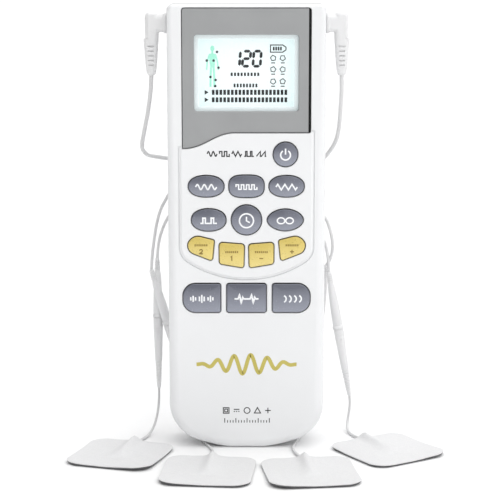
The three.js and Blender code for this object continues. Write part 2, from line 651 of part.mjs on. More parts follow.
function leadSet({ side, names, main, yoke: yokeEnds, branches }) {
  const label = side < 0 ? "left" : "right";
  const set = new THREE.Group();
  set.add(plugBody(`plug_body_${label}`, side));
  set.add(plugTip(`plug_tip_${label}`, side));
  set.add(tube(`main_cord_${label}`, main, MAIN_DIAMETER, 22));
  set.add(yoke(`yoke_${label}`, ...yokeEnds));
  branches.forEach(({ route, connector, pigtail, pad }, i) => {
    const number = names[i];
    set.add(tube(`branch_cord_${number}`, route, BRANCH_DIAMETER, 12));
    set.add(pinConnector(`pin_connector_${number}`, ...connector));
    set.add(leadSocket(`lead_socket_${number}`, ...connector));
    set.add(tube(`pigtail_cord_${number}`, pigtail, PIGTAIL_DIAMETER, pigtail.length > 9 ? 24 : 14));
    set.add(electrodePad(`electrode_pad_${number}`, pad));
  });
  return set;
}

// ---------------------------------------------------------------- the whole unit
const unit = new THREE.Group();
unit.add(frontShell(), rearShell(), caseScrew(), batteryDoor());
unit.add(displayPanel(), lcdWindow(), lcdModule(), keypadMat(), circuitBoard());
KEYS.forEach((one) => unit.add(key(one)));
unit.add(transformer("transformer_left", -13), transformer("transformer_right", 13));
[-1, 0, 1].forEach((i) => {
  unit.add(battery(`battery_${i + 2}`, i * BATTERY_PITCH, i === 0 ? -1 : 1));
});
unit.add(contactPlate("contact_plate_lower", BAY.low + 0.4, 1));
unit.add(contactPlate("contact_plate_upper", BAY.high - 0.6, -1));
unit.add(jack("jack_left", -1), jack("jack_right", 1));
unit.add(leadSet(LEFT_LEADS), leadSet(RIGHT_LEADS));

export default unit;
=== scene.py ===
"""The looks of a hand-held two-channel nerve stimulator (TENS unit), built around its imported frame.

Lengths in the helpers and tables are millimetres in the frame's own axes, and meshes are made in metres.
+Z is up the case, +X is to the right of the display, and the keypad faces -Y.
"""
import math

import bmesh
import bpy
import numpy as np
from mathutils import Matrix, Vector


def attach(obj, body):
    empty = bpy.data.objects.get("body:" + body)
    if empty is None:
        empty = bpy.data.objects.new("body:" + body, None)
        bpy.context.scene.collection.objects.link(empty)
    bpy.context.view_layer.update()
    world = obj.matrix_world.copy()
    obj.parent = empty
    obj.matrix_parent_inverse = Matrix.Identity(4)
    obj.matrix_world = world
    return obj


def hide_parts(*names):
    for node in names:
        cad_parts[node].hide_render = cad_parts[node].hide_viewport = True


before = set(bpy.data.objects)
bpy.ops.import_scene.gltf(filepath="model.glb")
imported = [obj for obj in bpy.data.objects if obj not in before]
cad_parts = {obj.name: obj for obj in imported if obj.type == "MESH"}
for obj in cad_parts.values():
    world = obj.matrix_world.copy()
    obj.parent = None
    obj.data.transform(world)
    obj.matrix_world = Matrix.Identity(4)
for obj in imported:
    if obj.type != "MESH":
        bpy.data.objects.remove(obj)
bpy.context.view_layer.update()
MM = 0.001
scene = bpy.context.scene

# ---------------------------------------------------------------- driving dimensions
CASE_FRONT = -12.5
CASE_BACK = 12.5
HALF_WIDTH = 32.5
CASE_HEIGHT = 186.0
PARTING = 4.0
ISLAND_FRONT = -13.1
PANEL_FRONT = -12.2
WINDOW = (-21.3, 21.2, 142.7, 173.7)
JACK_HEIGHT = 178.0
PLUG_AXIS_X = 39.4
CONNECTOR_LENGTH = 25.5
PAD_SIDE = 37.0
PAD_CORNER = 6.5


# ---------------------------------------------------------------- camera
def make_camera():
    """A long lens, ten degrees above the horizon."""
    elevation = math.radians(10.0)
    distance = 0.700
    target = Vector((0.00145, 0.0, 0.0830))
    camera = bpy.data.objects.new("camera", bpy.data.cameras.new("camera"))
    scene.collection.objects.link(camera)
    camera.location = target + distance * Vector((0.0, -math.cos(elevation), math.sin(elevation)))
    camera.rotation_euler = (math.pi / 2 - elevation, 0.0, 0.0)
    camera.data.lens = 119.4
    camera.data.sensor_width = 36.0
    camera.data.clip_start = 0.01
    scene.camera = camera


make_camera()


# ---------------------------------------------------------------- cords
MAIN = {
    "left": [
        (-39.4, 0, 156.9), (-39.9, 0.8, 149.5), (-41.3, 3.5, 140.7), (-43.3, 8, 131.6), (-44.3, 11, 126.3),
        (-43.9, 12.9, 123.7), (-42, 14.7, 121.6), (-38, 16, 120.6), (-33.3, 16.6, 120), (-26.7, 16.8, 120.6),
        (-20, 16.8, 121.2), (-14.6, 16.8, 119.2), (-12.9, 16.8, 115.1), (-15, 16.8, 111.7),
        (-18.3, 16.8, 110.5),
    ],
    "right": [
        (39.4, 0, 156.9), (39.5, 0.8, 150), (39.3, 3, 143.2), (38.9, 8, 133.9), (37.8, 12, 127.9),
        (35.6, 15, 123.4), (32.7, 16.4, 119.8), (28.1, 16.8, 116.6), (21.5, 16.8, 114), (14.3, 16.8, 112.7),
        (9.2, 16.8, 111.2), (5.7, 16.8, 108.1), (5.4, 16.8, 104.2), (8.4, 16.8, 101.6),
    ],
}
YOKE = {
    "left": ((-18.6, 16.8, 110.4), (-27.2, 16.8, 107.6)),
    "right": ((8.8, 16.8, 101.4), (17.4, 16.8, 98.6)),
}
LEADS = {
    "1": {
        "side": "left",
        "branch": [
            (-27.4, 16.9, 106.5), (-29.7, 17.4, 102.1), (-31.8, 18.2, 97.9), (-33.6, 19.2, 94.5),
            (-35.7, 20.3, 90.5), (-37.5, 21.1, 85.5), (-38.5, 21.5, 80.5), (-38.85, 21.4, 75.8),
        ],
        "connector": ((-38.9, 21.4, 75.3), (-38.3, 14.5, 19.5)),
        "pigtail": [
            (-38.3, 14.45, 19.2), (-38.4, 14.4, 14), (-38.9, 13.4, 9), (-40, 10.4, 4.4), (-41.6, 6.2, 1.7),
            (-43.5, 1.4, 0.8), (-45.4, -3.1, 0.9), (-46.9, -5.95, 0.95),
        ],
        "pad": (-52.5, -24.0, -17.0),
    },
    "2": {
        "side": "left",
        "branch": [
            (-27.7, 16.8, 108.4), (-30.4, 16.7, 107.3), (-32.8, 16.4, 105.2), (-35, 15.9, 101.7),
            (-37.1, 15.3, 97.4), (-38.7, 14.6, 91.5), (-39.9, 13.9, 84.2), (-40.7, 13.3, 77.3),
            (-40.95, 13, 72.6),
        ],
        "connector": ((-41, 13, 72.1), (-26, 19.4, 18.1)),
        "pigtail": [
            (-25.9, 19.4, 17.8), (-25.2, 19.7, 12.5), (-24.5, 19.2, 7.2), (-23.9, 17.2, 3), (-23.2, 13.5, 1.1),
            (-21.9, 8, 0.75), (-20.2, 1, 0.75), (-18, -6, 0.75), (-15.6, -13, 0.75), (-14, -20.5, 0.8),
            (-13.85, -28.2, 0.95),
        ],
        "pad": (-15.5, -47.0, -5.0),
    },
    "3": {
        "side": "right",
        "branch": [
            (17.9, 16.8, 99.4), (22.3, 16.9, 98.9), (26.6, 17, 98.4), (30.3, 17, 97), (33.5, 17, 94.4),
            (35.3, 17, 91), (36.7, 17, 85.9), (37.2, 17, 81.1), (36.3, 17, 76.6), (34.6, 17, 73.2),
        ],
        "connector": ((34.4, 17, 72.8), (27.6, 17.1, 16.8)),
        "pigtail": [
            (27.5, 17.1, 16.5), (27, 17.3, 11), (26.6, 16.8, 6), (26.2, 14.5, 2.4), (25.2, 10, 0.95),
            (23.3, 3, 0.75), (21, -6, 0.75), (19.7, -13, 0.75), (20.1, -20, 0.75), (21.9, -25.6, 0.8),
            (23.55, -29.75, 0.95),
        ],
        "pad": (25.8, -48.5, 7.0),
    },
    "4": {
        "side": "right",
        "branch": [
            (17.7, 16.8, 97.5), (22, 16.8, 95.4), (26.1, 16.8, 92.3), (30.3, 16.4, 88.2), (33.3, 15.2, 84.4),
            (34.4, 13.9, 81), (35.1, 12.4, 76.6), (35.35, 11.7, 71.7),
        ],
        "connector": ((35.4, 11.6, 71.2), (45, 15, 15.7)),
        "pigtail": [
            (45.05, 15.05, 15.4), (45.3, 16.2, 11.3), (44.9, 16.6, 7.2), (44.3, 15.4, 3.6), (44.1, 12, 1.4),
            (45, 7.4, 0.8), (46.7, 2.8, 0.85), (49.3, -1.55, 0.95),
        ],
        "pad": (59.3, -17.6, 32.0),
    },
}
MAIN_DIAMETER = 1.7
BRANCH_DIAMETER = 1.3
PIGTAIL_DIAMETER = 1.1


def smooth_route(points, steps=6):
    """A smooth curve through the given points, as a list of Vectors in millimetres."""
    p = [Vector(q) for q in points]
    p = [2 * p[0] - p[1], *p, 2 * p[-1] - p[-2]]
    route = []
    for a, b, c, d in zip(p, p[1:], p[2:], p[3:]):
        for i in range(steps):
            t = i / steps
            route.append(0.5 * (2 * b + (c - a) * t + (2 * a - 5 * b + 4 * c - d) * t**2
                                + (3 * b - a - 3 * c + d) * t**3))
    route.append(p[-2])
    return route


def cord_curve(name, points, diameter):
    route = smooth_route(points)
    data = bpy.data.curves.new(name, "CURVE")
    data.dimensions = "3D"
    data.bevel_depth = diameter / 2 * MM
    data.bevel_resolution = 4
    data.use_fill_caps = True
    spline = data.splines.new("POLY")
    spline.points.add(len(route) - 1)
    for point, place in zip(spline.points, route):
        point.co = (*(place * MM), 1.0)
    spline.use_smooth = True
    curve = bpy.data.objects.new(name, data)
    scene.collection.objects.link(curve)
    return curve


def make_cords():
    cords = {}
    for side, points in MAIN.items():
        cords[f"main_{side}"] = cord_curve(f"main_cord_{side}_skin", points, MAIN_DIAMETER)
    for number, lead in LEADS.items():
        cords[f"branch_{number}"] = cord_curve(f"branch_cord_{number}_skin", lead["branch"], BRANCH_DIAMETER)
        cords[f"pigtail_{number}"] = cord_curve(f"pigtail_cord_{number}_skin", lead["pigtail"], PIGTAIL_DIAMETER)
    return cords


CORDS = make_cords()


# ---------------------------------------------------------------- outlines, seen from the keypad side
def arc(centre_x, centre_z, radius, start, end, steps):
    angles = [start + (end - start) * i / steps for i in range(steps + 1)]
    return [(centre_x + radius * math.cos(a), centre_z + radius * math.sin(a)) for a in angles]


def rounded(corners, steps=8):
    """A convex outline whose corners (x, z, radius) are rounded, listed anticlockwise."""
    points = []
    for i, (x, z, radius) in enumerate(corners):
        corner = Vector((x, z))
        back = (Vector(corners[i - 1][:2]) - corner).normalized()
        onward = (Vector(corners[(i + 1) % len(corners)][:2]) - corner).normalized()
        half = math.acos(back.dot(onward)) / 2
        centre = corner + (back + onward).normalized() * radius / math.sin(half)
        first = corner + back * radius / math.tan(half) - centre
        start = math.atan2(first.y, first.x)
        points += arc(centre.x, centre.y, radius, start, start + math.pi - 2 * half, steps)
    return points


def rectangle(left, right, low, high, radius=0.5, steps=6):
    corners = ((left, low), (right, low), (right, high), (left, high))
    return rounded([(x, z, radius) for x, z in corners], steps)


def oval(centre_x, centre_z, a, b, power=2.0, steps=72):
    points = []
    for i in range(steps):
        angle = 2 * math.pi * i / steps
        c, s = math.cos(angle), math.sin(angle)
        x = math.copysign(abs(c) ** (2 / power), c)
        z = math.copysign(abs(s) ** (2 / power), s)
        points.append((centre_x + a * x, centre_z + b * z))
    return points


def mirrored(outline):
    return [(-x, z) for x, z in reversed(outline)]


def grow(outline, distance):
    """The same outline moved outwards, or inwards when the distance is negative."""
    p = np.array(outline)
    along = p - np.roll(p, 1, axis=0)
    along /= np.linalg.norm(along, axis=1)[:, None]
    onward = np.roll(along, -1, axis=0)
    normal = np.stack([along[:, 1] + onward[:, 1], -along[:, 0] - onward[:, 0]], axis=1)
    normal /= np.linalg.norm(normal, axis=1)[:, None]
    spread = np.maximum(0.5, normal[:, 0] * along[:, 1] - normal[:, 1] * along[:, 0])
    return [tuple(q) for q in p + normal * (distance / spread)[:, None]]


FOOT_HALF_WIDTH = 7.0
FOOT_ARC_RADIUS = 62.0
FOOT_ARC_END = math.radians(20.0)
FOOT_CENTRE_Z = math.sqrt(FOOT_ARC_RADIUS**2 - FOOT_HALF_WIDTH**2)
FOOT_REACH = FOOT_ARC_RADIUS * math.sin(FOOT_ARC_END)
CORNER_RADIUS = (HALF_WIDTH - FOOT_REACH) / (1 - math.sin(FOOT_ARC_END))
CORNER_X = HALF_WIDTH - CORNER_RADIUS
CORNER_Z = FOOT_CENTRE_Z - (FOOT_ARC_RADIUS - CORNER_RADIUS) * math.cos(FOOT_ARC_END)
TOP_RADIUS = 2.6


def case_outline(fine=1):
    down = -math.pi / 2
    foot_angle = math.asin(FOOT_HALF_WIDTH / FOOT_ARC_RADIUS)
    right = arc(0, FOOT_CENTRE_Z, FOOT_ARC_RADIUS, down + foot_angle, down + FOOT_ARC_END, 6 * fine)
    right += arc(CORNER_X, CORNER_Z, CORNER_RADIUS, down + FOOT_ARC_END, 0, 16 * fine)[1:]
    right += arc(HALF_WIDTH - TOP_RADIUS, CASE_HEIGHT - TOP_RADIUS, TOP_RADIUS, 0, math.pi / 2, 8 * fine)
    return right + mirrored(right)


PANEL_HALF_WIDTH = 26.2
PANEL_TOP = 184.4
PANEL_RIGHT_LOW = 134.0
PANEL_LEFT_LOW = 127.5


def panel_outline():
    a, b = Vector((-PANEL_HALF_WIDTH, PANEL_LEFT_LOW)), Vector((-17.0, PANEL_LEFT_LOW))
    c, d = Vector((-13.5, PANEL_RIGHT_LOW)), Vector((-4.7, PANEL_RIGHT_LOW))
    curve = []
    for i in range(31):
        t = i / 30
        curve.append(tuple((1 - t)**3 * a + 3 * t * (1 - t)**2 * b + 3 * t**2 * (1 - t) * c + t**3 * d))
    right = PANEL_HALF_WIDTH
    corner = arc(right - 0.6, PANEL_RIGHT_LOW + 0.6, 0.6, -math.pi / 2, 0, 4)
    top_right = arc(right - 1, PANEL_TOP - 1, 1, 0, math.pi / 2, 6)
    top_left = arc(1 - right, PANEL_TOP - 1, 1, math.pi / 2, math.pi, 6)
    return curve + corner + top_right + top_left


def window_outline(margin=0.0):
    left, right, low, high = WINDOW
    return rectangle(left - margin, right + margin, low - margin, high + margin, 1.2 + margin / 2, 8)


SIDE_CHANNEL_KEY = rounded([
    (-14.2, 80.7, 0.9), (-13.3, 89.4, 0.9), (-21.6, 91.5, 4.3), (-24.6, 87.9, 3.2), (-23.6, 84.4, 3.5),
])
INNER_CHANNEL_KEY = rounded([
    (-11.2, 79.5, 1.2), (-1.2, 77.8, 0.9), (-0.9, 87.7, 1.3), (-11.3, 88.5, 1.3),
])
END_MODE_KEY = rounded([(-26.4, 58.8, 5.2), (-10.8, 58.8, 1), (-10.8, 71, 1), (-26.4, 71, 5.2)], 12)
KEYS = {
    "power_button": oval(16, 125.1, 5, 5),
    "program_1_button": oval(-16.6, 111.9, 7.3, 4.4, 2.2),
    "program_2_button": oval(0, 111.9, 7.2, 4.6, 2.9),
    "program_3_button": oval(16.5, 111.9, 7.2, 4.4, 2.2),
    "program_4_button": oval(-15.6, 97.9, 7.1, 4.6, 2.15),
    "timer_button": oval(0, 97.9, 6.2, 6.2),
    "continuous_button": oval(16, 97.9, 7.4, 4.5, 1.85),
    "channel_2_button": SIDE_CHANNEL_KEY,
    "channel_1_button": INNER_CHANNEL_KEY,
    "intensity_down_button": mirrored(INNER_CHANNEL_KEY),
    "intensity_up_button": mirrored(SIDE_CHANNEL_KEY),
    "mode_1_button": END_MODE_KEY,
    "mode_2_button": rectangle(-8.2, 8.2, 58.8, 71, 1.0, 8),
    "mode_3_button": mirrored(END_MODE_KEY),
}
GOLD_KEYS = ("channel_2_button", "channel_1_button", "intensity_down_button", "intensity_up_button")
LOW_KEYS = ("mode_1_button", "mode_2_button", "mode_3_button")


# ---------------------------------------------------------------- mesh helpers
def solid(name, vertices, faces, sharp=35.0):
    """A closed mesh object from millimetre points, with its faces pointing out."""
    mesh = bpy.data.meshes.new(name)
    mesh.from_pydata([tuple(MM * c for c in v) for v in vertices], [], faces)
    tidy(mesh, sharp)
    piece = bpy.data.objects.new(name, mesh)
    scene.collection.objects.link(piece)
    return piece


def tidy(mesh, sharp=35.0):
    bm = bmesh.new()
    bm.from_mesh(mesh)
    bmesh.ops.recalc_face_normals(bm, faces=bm.faces)
    bm.to_mesh(mesh)
    bm.free()
    mesh.shade_smooth()
    mesh.set_sharp_from_angle(angle=math.radians(sharp))


def loft(rings, around=False):
    """Vertices and faces of a skin over rings of equally many points, capped or joined end to end."""
    count = len(rings[0])
    vertices = [point for ring in rings for point in ring]
    faces = []
    for i in range(len(rings) if around else len(rings) - 1):
        onward = (i + 1) % len(rings)
        for j in range(count):
            k = (j + 1) % count
            faces.append((i * count + j, i * count + k, onward * count + k, onward * count + j))
    if not around:
        last = (len(rings) - 1) * count
        faces.append(tuple(reversed(range(count))))
        faces.append(tuple(range(last, last + count)))
    return vertices, faces


def plate(name, outline, steps, sharp=35.0):
    """A solid of one outline, from its back to its front: steps are (distance grown, y)."""
    rings = [[(x, y, z) for x, z in grow(outline, offset)] for offset, y in steps]
    return solid(name, *loft(rings), sharp)


def quarter(inset, depth, edge_y, direction, steps=8, offset=0.0):
    """Steps of a plate that round its edge: in by inset while y moves by depth in the direction given."""
    result = []
    for i in range(steps + 1):
        a = math.pi / 2 * i / steps
        result.append((offset - inset * (1 - math.cos(a)), edge_y + direction * depth * math.sin(a)))
    return result


def block(name, low, high):
    (x0, y0, z0), (x1, y1, z1) = low, high
    ring = ((x0, z0), (x1, z0), (x1, z1), (x0, z1))
    return solid(name, *loft([[(x, y1, z) for x, z in ring], [(x, y0, z) for x, z in ring]]))


def turned(name, profile, start, end, sides=40, sharp=35.0):
    """A solid round about the line from start to end: profile is (distance along, radius)."""
    start, axis = Vector(start), (Vector(end) - Vector(start)).normalized()
    turn = axis.to_track_quat("Z", "Y")
    rings = []
    for along, radius in profile:
        ring = []
        for i in range(sides):
            a = 2 * math.pi * i / sides
            ring.append(start + turn @ Vector((radius * math.cos(a), radius * math.sin(a), along)))
        rings.append(ring)
    return solid(name, *loft(rings), sharp)


def boolean(piece, tools, operation="DIFFERENCE", sharp=35.0):
    """Cuts or joins the tools into the piece, applies it and removes the tools."""
    for tool in tools:
        modifier = piece.modifiers.new("boolean", "BOOLEAN")
        modifier.operation = operation
        modifier.solver = "MANIFOLD"
        modifier.object = tool
        apply_modifiers(piece)
        bpy.data.objects.remove(tool)
    piece.data.shade_smooth()
    piece.data.set_sharp_from_angle(angle=math.radians(sharp))
    return piece


def apply_modifiers(piece):
    graph = bpy.context.evaluated_depsgraph_get()
    mesh = bpy.data.meshes.new_from_object(piece.evaluated_get(graph))
    piece.modifiers.clear()
    old = piece.data
    piece.data = mesh
    mesh.name = piece.name
    bpy.data.meshes.remove(old)


def even_shading(piece, sharp=35.0):
    """Flat faces stay flat to the light right up to their rounded edges."""
    piece.data.shade_smooth()
    piece.data.set_sharp_from_angle(angle=math.radians(sharp))
    modifier = piece.modifiers.new("normals", "WEIGHTED_NORMAL")
    modifier.keep_sharp = True
    apply_modifiers(piece)
    return piece


def merge_flat(piece):
    """Joins coplanar neighbours, so that no sliver is left on a flat face."""
    bm = bmesh.new()
    bm.from_mesh(piece.data)
    bmesh.ops.dissolve_limit(bm, angle_limit=math.radians(0.5), verts=bm.verts, edges=bm.edges)
    bm.to_mesh(piece.data)
    bm.free()


def dress(piece, body, slot, material, *replaced):
    """Gives a piece its material and the body it rides on, and hides the nodes it stands for; the slot is not
    used.
    """
    piece.data.materials.clear()
    piece.data.materials.append(material)
    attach(piece, body)
    if replaced:
        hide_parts(*replaced)
    return piece


# ---------------------------------------------------------------- the case
WALL = 2.2
CAVITY_FRONT = CASE_FRONT + WALL
CAVITY_BACK = 9.7
EDGE_DEPTH = 3.0
SEAM = 0.12
ISLAND_HALF_WIDTH = 27.0
ISLAND_SIDE_END = 83.0
ISLAND_LOW = 73.5
ISLAND_CORNER = 7.0
DOOR = {"half_width": 20.0, "low": 38.2, "high": 92.1, "front": 11.1, "back": 12.4}
DOOR_RUN = 8.0
RECESS_FLOOR = 10.8
BAY = {"half_width": 17.9, "low": 41.0, "high": 89.8, "wall": 1.2, "front": 4.3}
SCREW_HEIGHT = 22.0
GAP_SHADE_FRONT = -11.25
RIGHT_REVEAL = 1.1


def edge_insets(outline, sides, top, foot):
    """How far in the rounding of the case's edge reaches at each point of its outline."""
    step = (np.array(grow(outline, 1.0)) - np.array(outline))
    up = step[:, 1] / np.linalg.norm(step, axis=1)
    ends = np.where(up > 0, top, foot)
    height = np.array(outline)[:, 1]
    near_top = np.clip((height - 160) / (CASE_HEIGHT - TOP_RADIUS - 160), 0, 1)
    near_top = near_top**2 * (3 - 2 * near_top)
    sides = sides + (2.3 - sides) * near_top
    return sides * (1 - up**2) + ends * up**2


def case_steps(start, edge, insets, direction):
    """From a seam with a fine chamfer, straight along the side and round the edge onto the face."""
    steps = [(-0.18, start), (0.0, start + 0.18 * direction), (0.0, edge)]
    steps += [(offset, y) for offset, y in quarter(insets, EDGE_DEPTH, edge, direction, 12)[1:]]
    return steps


def island_outline():
    half = ISLAND_HALF_WIDTH
    sag = ISLAND_SIDE_END - ISLAND_LOW
    radius = (half**2 + sag**2) / (2 * sag)
    inner = half - ISLAND_CORNER
    swing = math.asin(inner / (radius - ISLAND_CORNER))
    down = -math.pi / 2
    corner_z = ISLAND_LOW + radius - (radius - ISLAND_CORNER) * math.cos(swing)
    low_edge = arc(-inner, corner_z, ISLAND_CORNER, -math.pi, down - swing, 14)
    low_edge += arc(0, ISLAND_LOW + radius, radius, down - swing, down + swing, 50)[1:]
    low_edge += arc(inner, corner_z, ISLAND_CORNER, down + swing, 0, 14)[1:]
    upper_edge = [(x, z - 0.1) for x, z in panel_outline()[:31]]
    return low_edge + [(half, PANEL_RIGHT_LOW - 0.1)] + upper_edge[::-1] + [(-half, PANEL_LEFT_LOW - 0.1)]


def front_shell():
    outline = case_outline(3)
    insets = edge_insets(outline, 4.7, 1.1, 4.0)
    shell = plate("front_shell_skin", outline, case_steps(PARTING + SEAM / 2, CASE_FRONT + EDGE_DEPTH, insets, -1))
    step = [(0.7, -12.2), (0.7, -12.5), (0.35, -12.54), (0.12, -12.64), (0.0, -12.8), (-0.12, -12.96),
            (-0.35, -13.06), (-0.7, ISLAND_FRONT)]
    boolean(shell, [plate("island", island_outline(), step)], "UNION")
    groove = [[(x, y, z) for x, z in grow(island_outline(), offset)]
              for offset, y in ((0.6, -12.0), (0.6, -12.9), (1.15, -12.9), (1.0, -12.0))]
    boolean(shell, [solid("groove", *loft(groove, True))])
    tools = [plate("cavity", grow(case_outline(2), -WALL), [(0, PARTING + 1), (0, CAVITY_FRONT)])]
    recess = [(0.3, -11.1), (0.3, -12.3), (0.42, -12.6), (0.42, -14)]
    tools.append(plate("panel_recess", panel_outline(), recess))
    tools.append(plate("opening", window_outline(2.2), [(0, -9), (0, -12)]))
    for name, key_outline in KEYS.items():
        face = CASE_FRONT if name in LOW_KEYS else ISLAND_FRONT
        flare = [(0.3, -9.5), (0.3, face + 0.3), (0.34, face + 0.15), (0.46, face + 0.04), (0.62, face - 0.01)]
        tools.append(plate("key_hole", key_outline, [*flare, (0.62, face - 1)]))
    for side in (-1, 1):
        tools.append(turned("jack_hole", [(0, 3.0), (8, 3.0)], (side * 26, 0, JACK_HEIGHT),
                            (side * 34, 0, JACK_HEIGHT)))
    boolean(shell, tools)
    boss = turned("boss", [(0, 3), (14.4, 3)], (0, -10.6, SCREW_HEIGHT), (0, PARTING, SCREW_HEIGHT))
    pilot = turned("pilot", [(0, 1.45), (20, 1.45)], (0, -6, SCREW_HEIGHT), (0, 14, SCREW_HEIGHT))
    boolean(shell, [boss], "UNION")
    boolean(shell, [pilot])
    return even_shading(shell)


def rear_shell():
    outline = case_outline(3)
    insets = edge_insets(outline, 4.4, 1.9, 3.6)
    shell = plate("rear_shell_skin", outline, case_steps(PARTING + 2 * SEAM, CASE_BACK - EDGE_DEPTH, insets, 1))
    boolean(shell, [plate("cavity", grow(case_outline(2), -WALL), [(0, PARTING - 1), (0, CAVITY_BACK)])])
    section = [(0.3, 4.8), (-0.9, 6.2), (-0.9, 2.8), (-0.7, 2.6), (-0.35, 2.6), (-0.15, 2.8), (-0.15, 4.3)]
    wall_line = grow(case_outline(2), -WALL)
    rings = [[(x, y, z) for x, z in grow(wall_line, offset)] for offset, y in section]
    half, wall = BAY["half_width"], BAY["wall"]
    low, high = BAY["low"], BAY["high"]
    bay_walls = block("bay_walls", (-half - wall, BAY["front"] + 0.3, low - wall),
                      (half + wall, CAVITY_BACK + 0.5, high + wall))
    boss = turned("boss", [(0, 4.2), (5.9, 4.2)], (0, PARTING + 0.3, SCREW_HEIGHT), (0, 14, SCREW_HEIGHT))
    boolean(shell, [solid("lip", *loft(rings, True)), bay_walls, boss], "UNION")
    door = rectangle(-DOOR["half_width"] - 0.3, DOOR["half_width"] + 0.3, DOOR["low"] - DOOR_RUN - 0.3,
                     DOOR["high"] + 0.3, 1.5, 8)
    recess = [(0, RECESS_FLOOR), (0, CASE_BACK - 0.2), (0.06, CASE_BACK - 0.06), (0.2, CASE_BACK), (0.2, 14)]
    label = rectangle(-19, 19, 104, 150, 1.5, 8)
    counterbore = [(0, 2.9), (3.8, 2.9), (4.0, 3.1), (6, 3.1)]
    boolean(shell, [
        block("bay", (-half, BAY["front"] - 1, low), (half, 14, high)),
        plate("recess", door, recess),
        plate("label", label, [(-0.12, CASE_BACK - 0.25), (0.12, CASE_BACK), (0.12, 14)]),
        block("notch", (-4.3, 10.8, DOOR["high"] - 1), (4.3, 12.1, DOOR["high"] + 2.1)),
        turned("counterbore", counterbore, (0, 8.5, SCREW_HEIGHT), (0, 14, SCREW_HEIGHT)),
        turned("hole", [(0, 1.55), (10, 1.55)], (0, 3, SCREW_HEIGHT), (0, 14, SCREW_HEIGHT)),
    ])
    return even_shading(shell)


def battery_door():
    """The sliding cover over the cells, with a bevelled rim, finger ridges and an arrow to slide it by."""
    half, low, high = DOOR["half_width"], DOOR["low"], DOOR["high"]
    front, back = DOOR["front"], DOOR["back"]
    outline = rectangle(-half, half, low, high, 1.2, 8)
    rim = [(offset, y) for offset, y in quarter(0.35, 0.35, back - 0.35, 1, 5)]
    door = plate("battery_door_skin", outline, [(0, front), *rim])
    boolean(door, [plate("tongue", rectangle(-4, 4, high - 1, high + 1.8, 0.4), [(0, front), (0, 11.8)])], "UNION")
    ridges = []
    for i in range(4):
        z = low + 4 + 2 * i
        ridges.append(plate("ridge", rectangle(-6, 6, z, z + 0.8, 0.39), [(0, back - 0.3), (0, back + 0.15),
                                                                        (-0.1, back + 0.29), (-0.3, back + 0.35)]))
    boolean(door, ridges, "UNION")
    arrow = [(-2.6, 54.2), (0, 51.2), (2.6, 54.2)]
    groove = ribbon("arrow", arrow, 0.7, back - 0.25, back + 1)
    boolean(door, [groove])
    return even_shading(door)


def ribbon(name, line, width, low_y, high_y, looped=False, surface=None):
    """A thin solid of one width along a line of (x, z) points, between two depths.
    With a surface, the depths are measured from surface(x, z)."""
    p = np.array(line, float)
    before = np.roll(p, 1, axis=0) if looped else np.vstack([2 * p[0] - p[1], p[:-1]])
    after = np.roll(p, -1, axis=0) if looped else np.vstack([p[1:], 2 * p[-1] - p[-2]])
    along = (p - before) / np.linalg.norm(p - before, axis=1)[:, None]
    onward = (after - p) / np.linalg.norm(after - p, axis=1)[:, None]
    normal = np.stack([along[:, 1] + onward[:, 1], -along[:, 0] - onward[:, 0]], axis=1)
    normal /= np.maximum(1e-9, np.linalg.norm(normal, axis=1))[:, None]
    spread = np.maximum(0.45, normal[:, 0] * along[:, 1] - normal[:, 1] * along[:, 0])
    shift = normal * (width / 2 / spread)[:, None]
    sections = []
    for right, left in zip(p + shift, p - shift):
        corners = []
        for (x, z), y in ((right, low_y), (left, low_y), (left, high_y), (right, high_y)):
            corners.append((x, y + (surface(x, z) if surface else 0.0), z))
        sections.append(corners)
    return solid(name, *loft(sections, looped))


def join(name, pieces):
    """One object of several solids that don't touch, or only meet behind the face."""
    bm = bmesh.new()
    for piece in pieces:
        bm.from_mesh(piece.data)
        bpy.data.objects.remove(piece)
    mesh = bpy.data.meshes.new(name)
    bm.to_mesh(mesh)
    bm.free()
    tidy(mesh)
    joined = bpy.data.objects.new(name, mesh)
    scene.collection.objects.link(joined)
    return joined


# ---------------------------------------------------------------- keys and their printed symbols
KEY_PROUD = 0.9
KEY_CROWN = 0.45
KEY_ROUNDING = 0.55
FLANGE_BACK = -9.15
FLANGE_FRONT = -9.95
PRINT = 0.05
PRINT_ROOT = 0.04
FIGURE_PRINT = 0.03
CASE_PRINT = 0.02


def crowned(outline, peak, crown):
    """The middle of a domed face and its depth at any (x, z): peak there, and crown lower at its rim."""
    p = np.array(outline)
    middle = (p.max(axis=0) + p.min(axis=0)) / 2
    angles = np.arctan2(p[:, 1] - middle[1], p[:, 0] - middle[0])
    reach = np.hypot(p[:, 0] - middle[0], p[:, 1] - middle[1])
    order = np.argsort(angles)

    def depth(x, z):
        angle = math.atan2(z - middle[1], x - middle[0])
        rim = np.interp(angle, angles[order], reach[order], period=2 * math.pi)
        return peak + crown * (math.hypot(x - middle[0], z - middle[1]) / rim) ** 2

    return middle, depth


def key_front(name):
    return (CASE_FRONT if name in LOW_KEYS else ISLAND_FRONT) - KEY_PROUD


def key_cap(name, outline):
    peak = key_front(name)
    middle, _ = crowned(outline, peak, KEY_CROWN)
    rim_y = peak + KEY_CROWN
    steps = [(0.65, FLANGE_BACK), (0.65, FLANGE_FRONT), (0.0, FLANGE_FRONT)]
    steps += quarter(KEY_ROUNDING, KEY_ROUNDING, rim_y + KEY_ROUNDING, -1, 7)
    rings = [[(x, y, z) for x, z in grow(outline, offset)] for offset, y in steps]
    rim = [(x, z) for x, _, z in rings[-1]]
    for i in range(1, 13):
        share = math.cos(math.pi / 2 * i / 13)
        y = peak + KEY_CROWN * share**2
        rings.append([(middle[0] + (x - middle[0]) * share, y, middle[1] + (z - middle[1]) * share)
                      for x, z in rim])
    return solid(name + "_skin", *loft(rings))


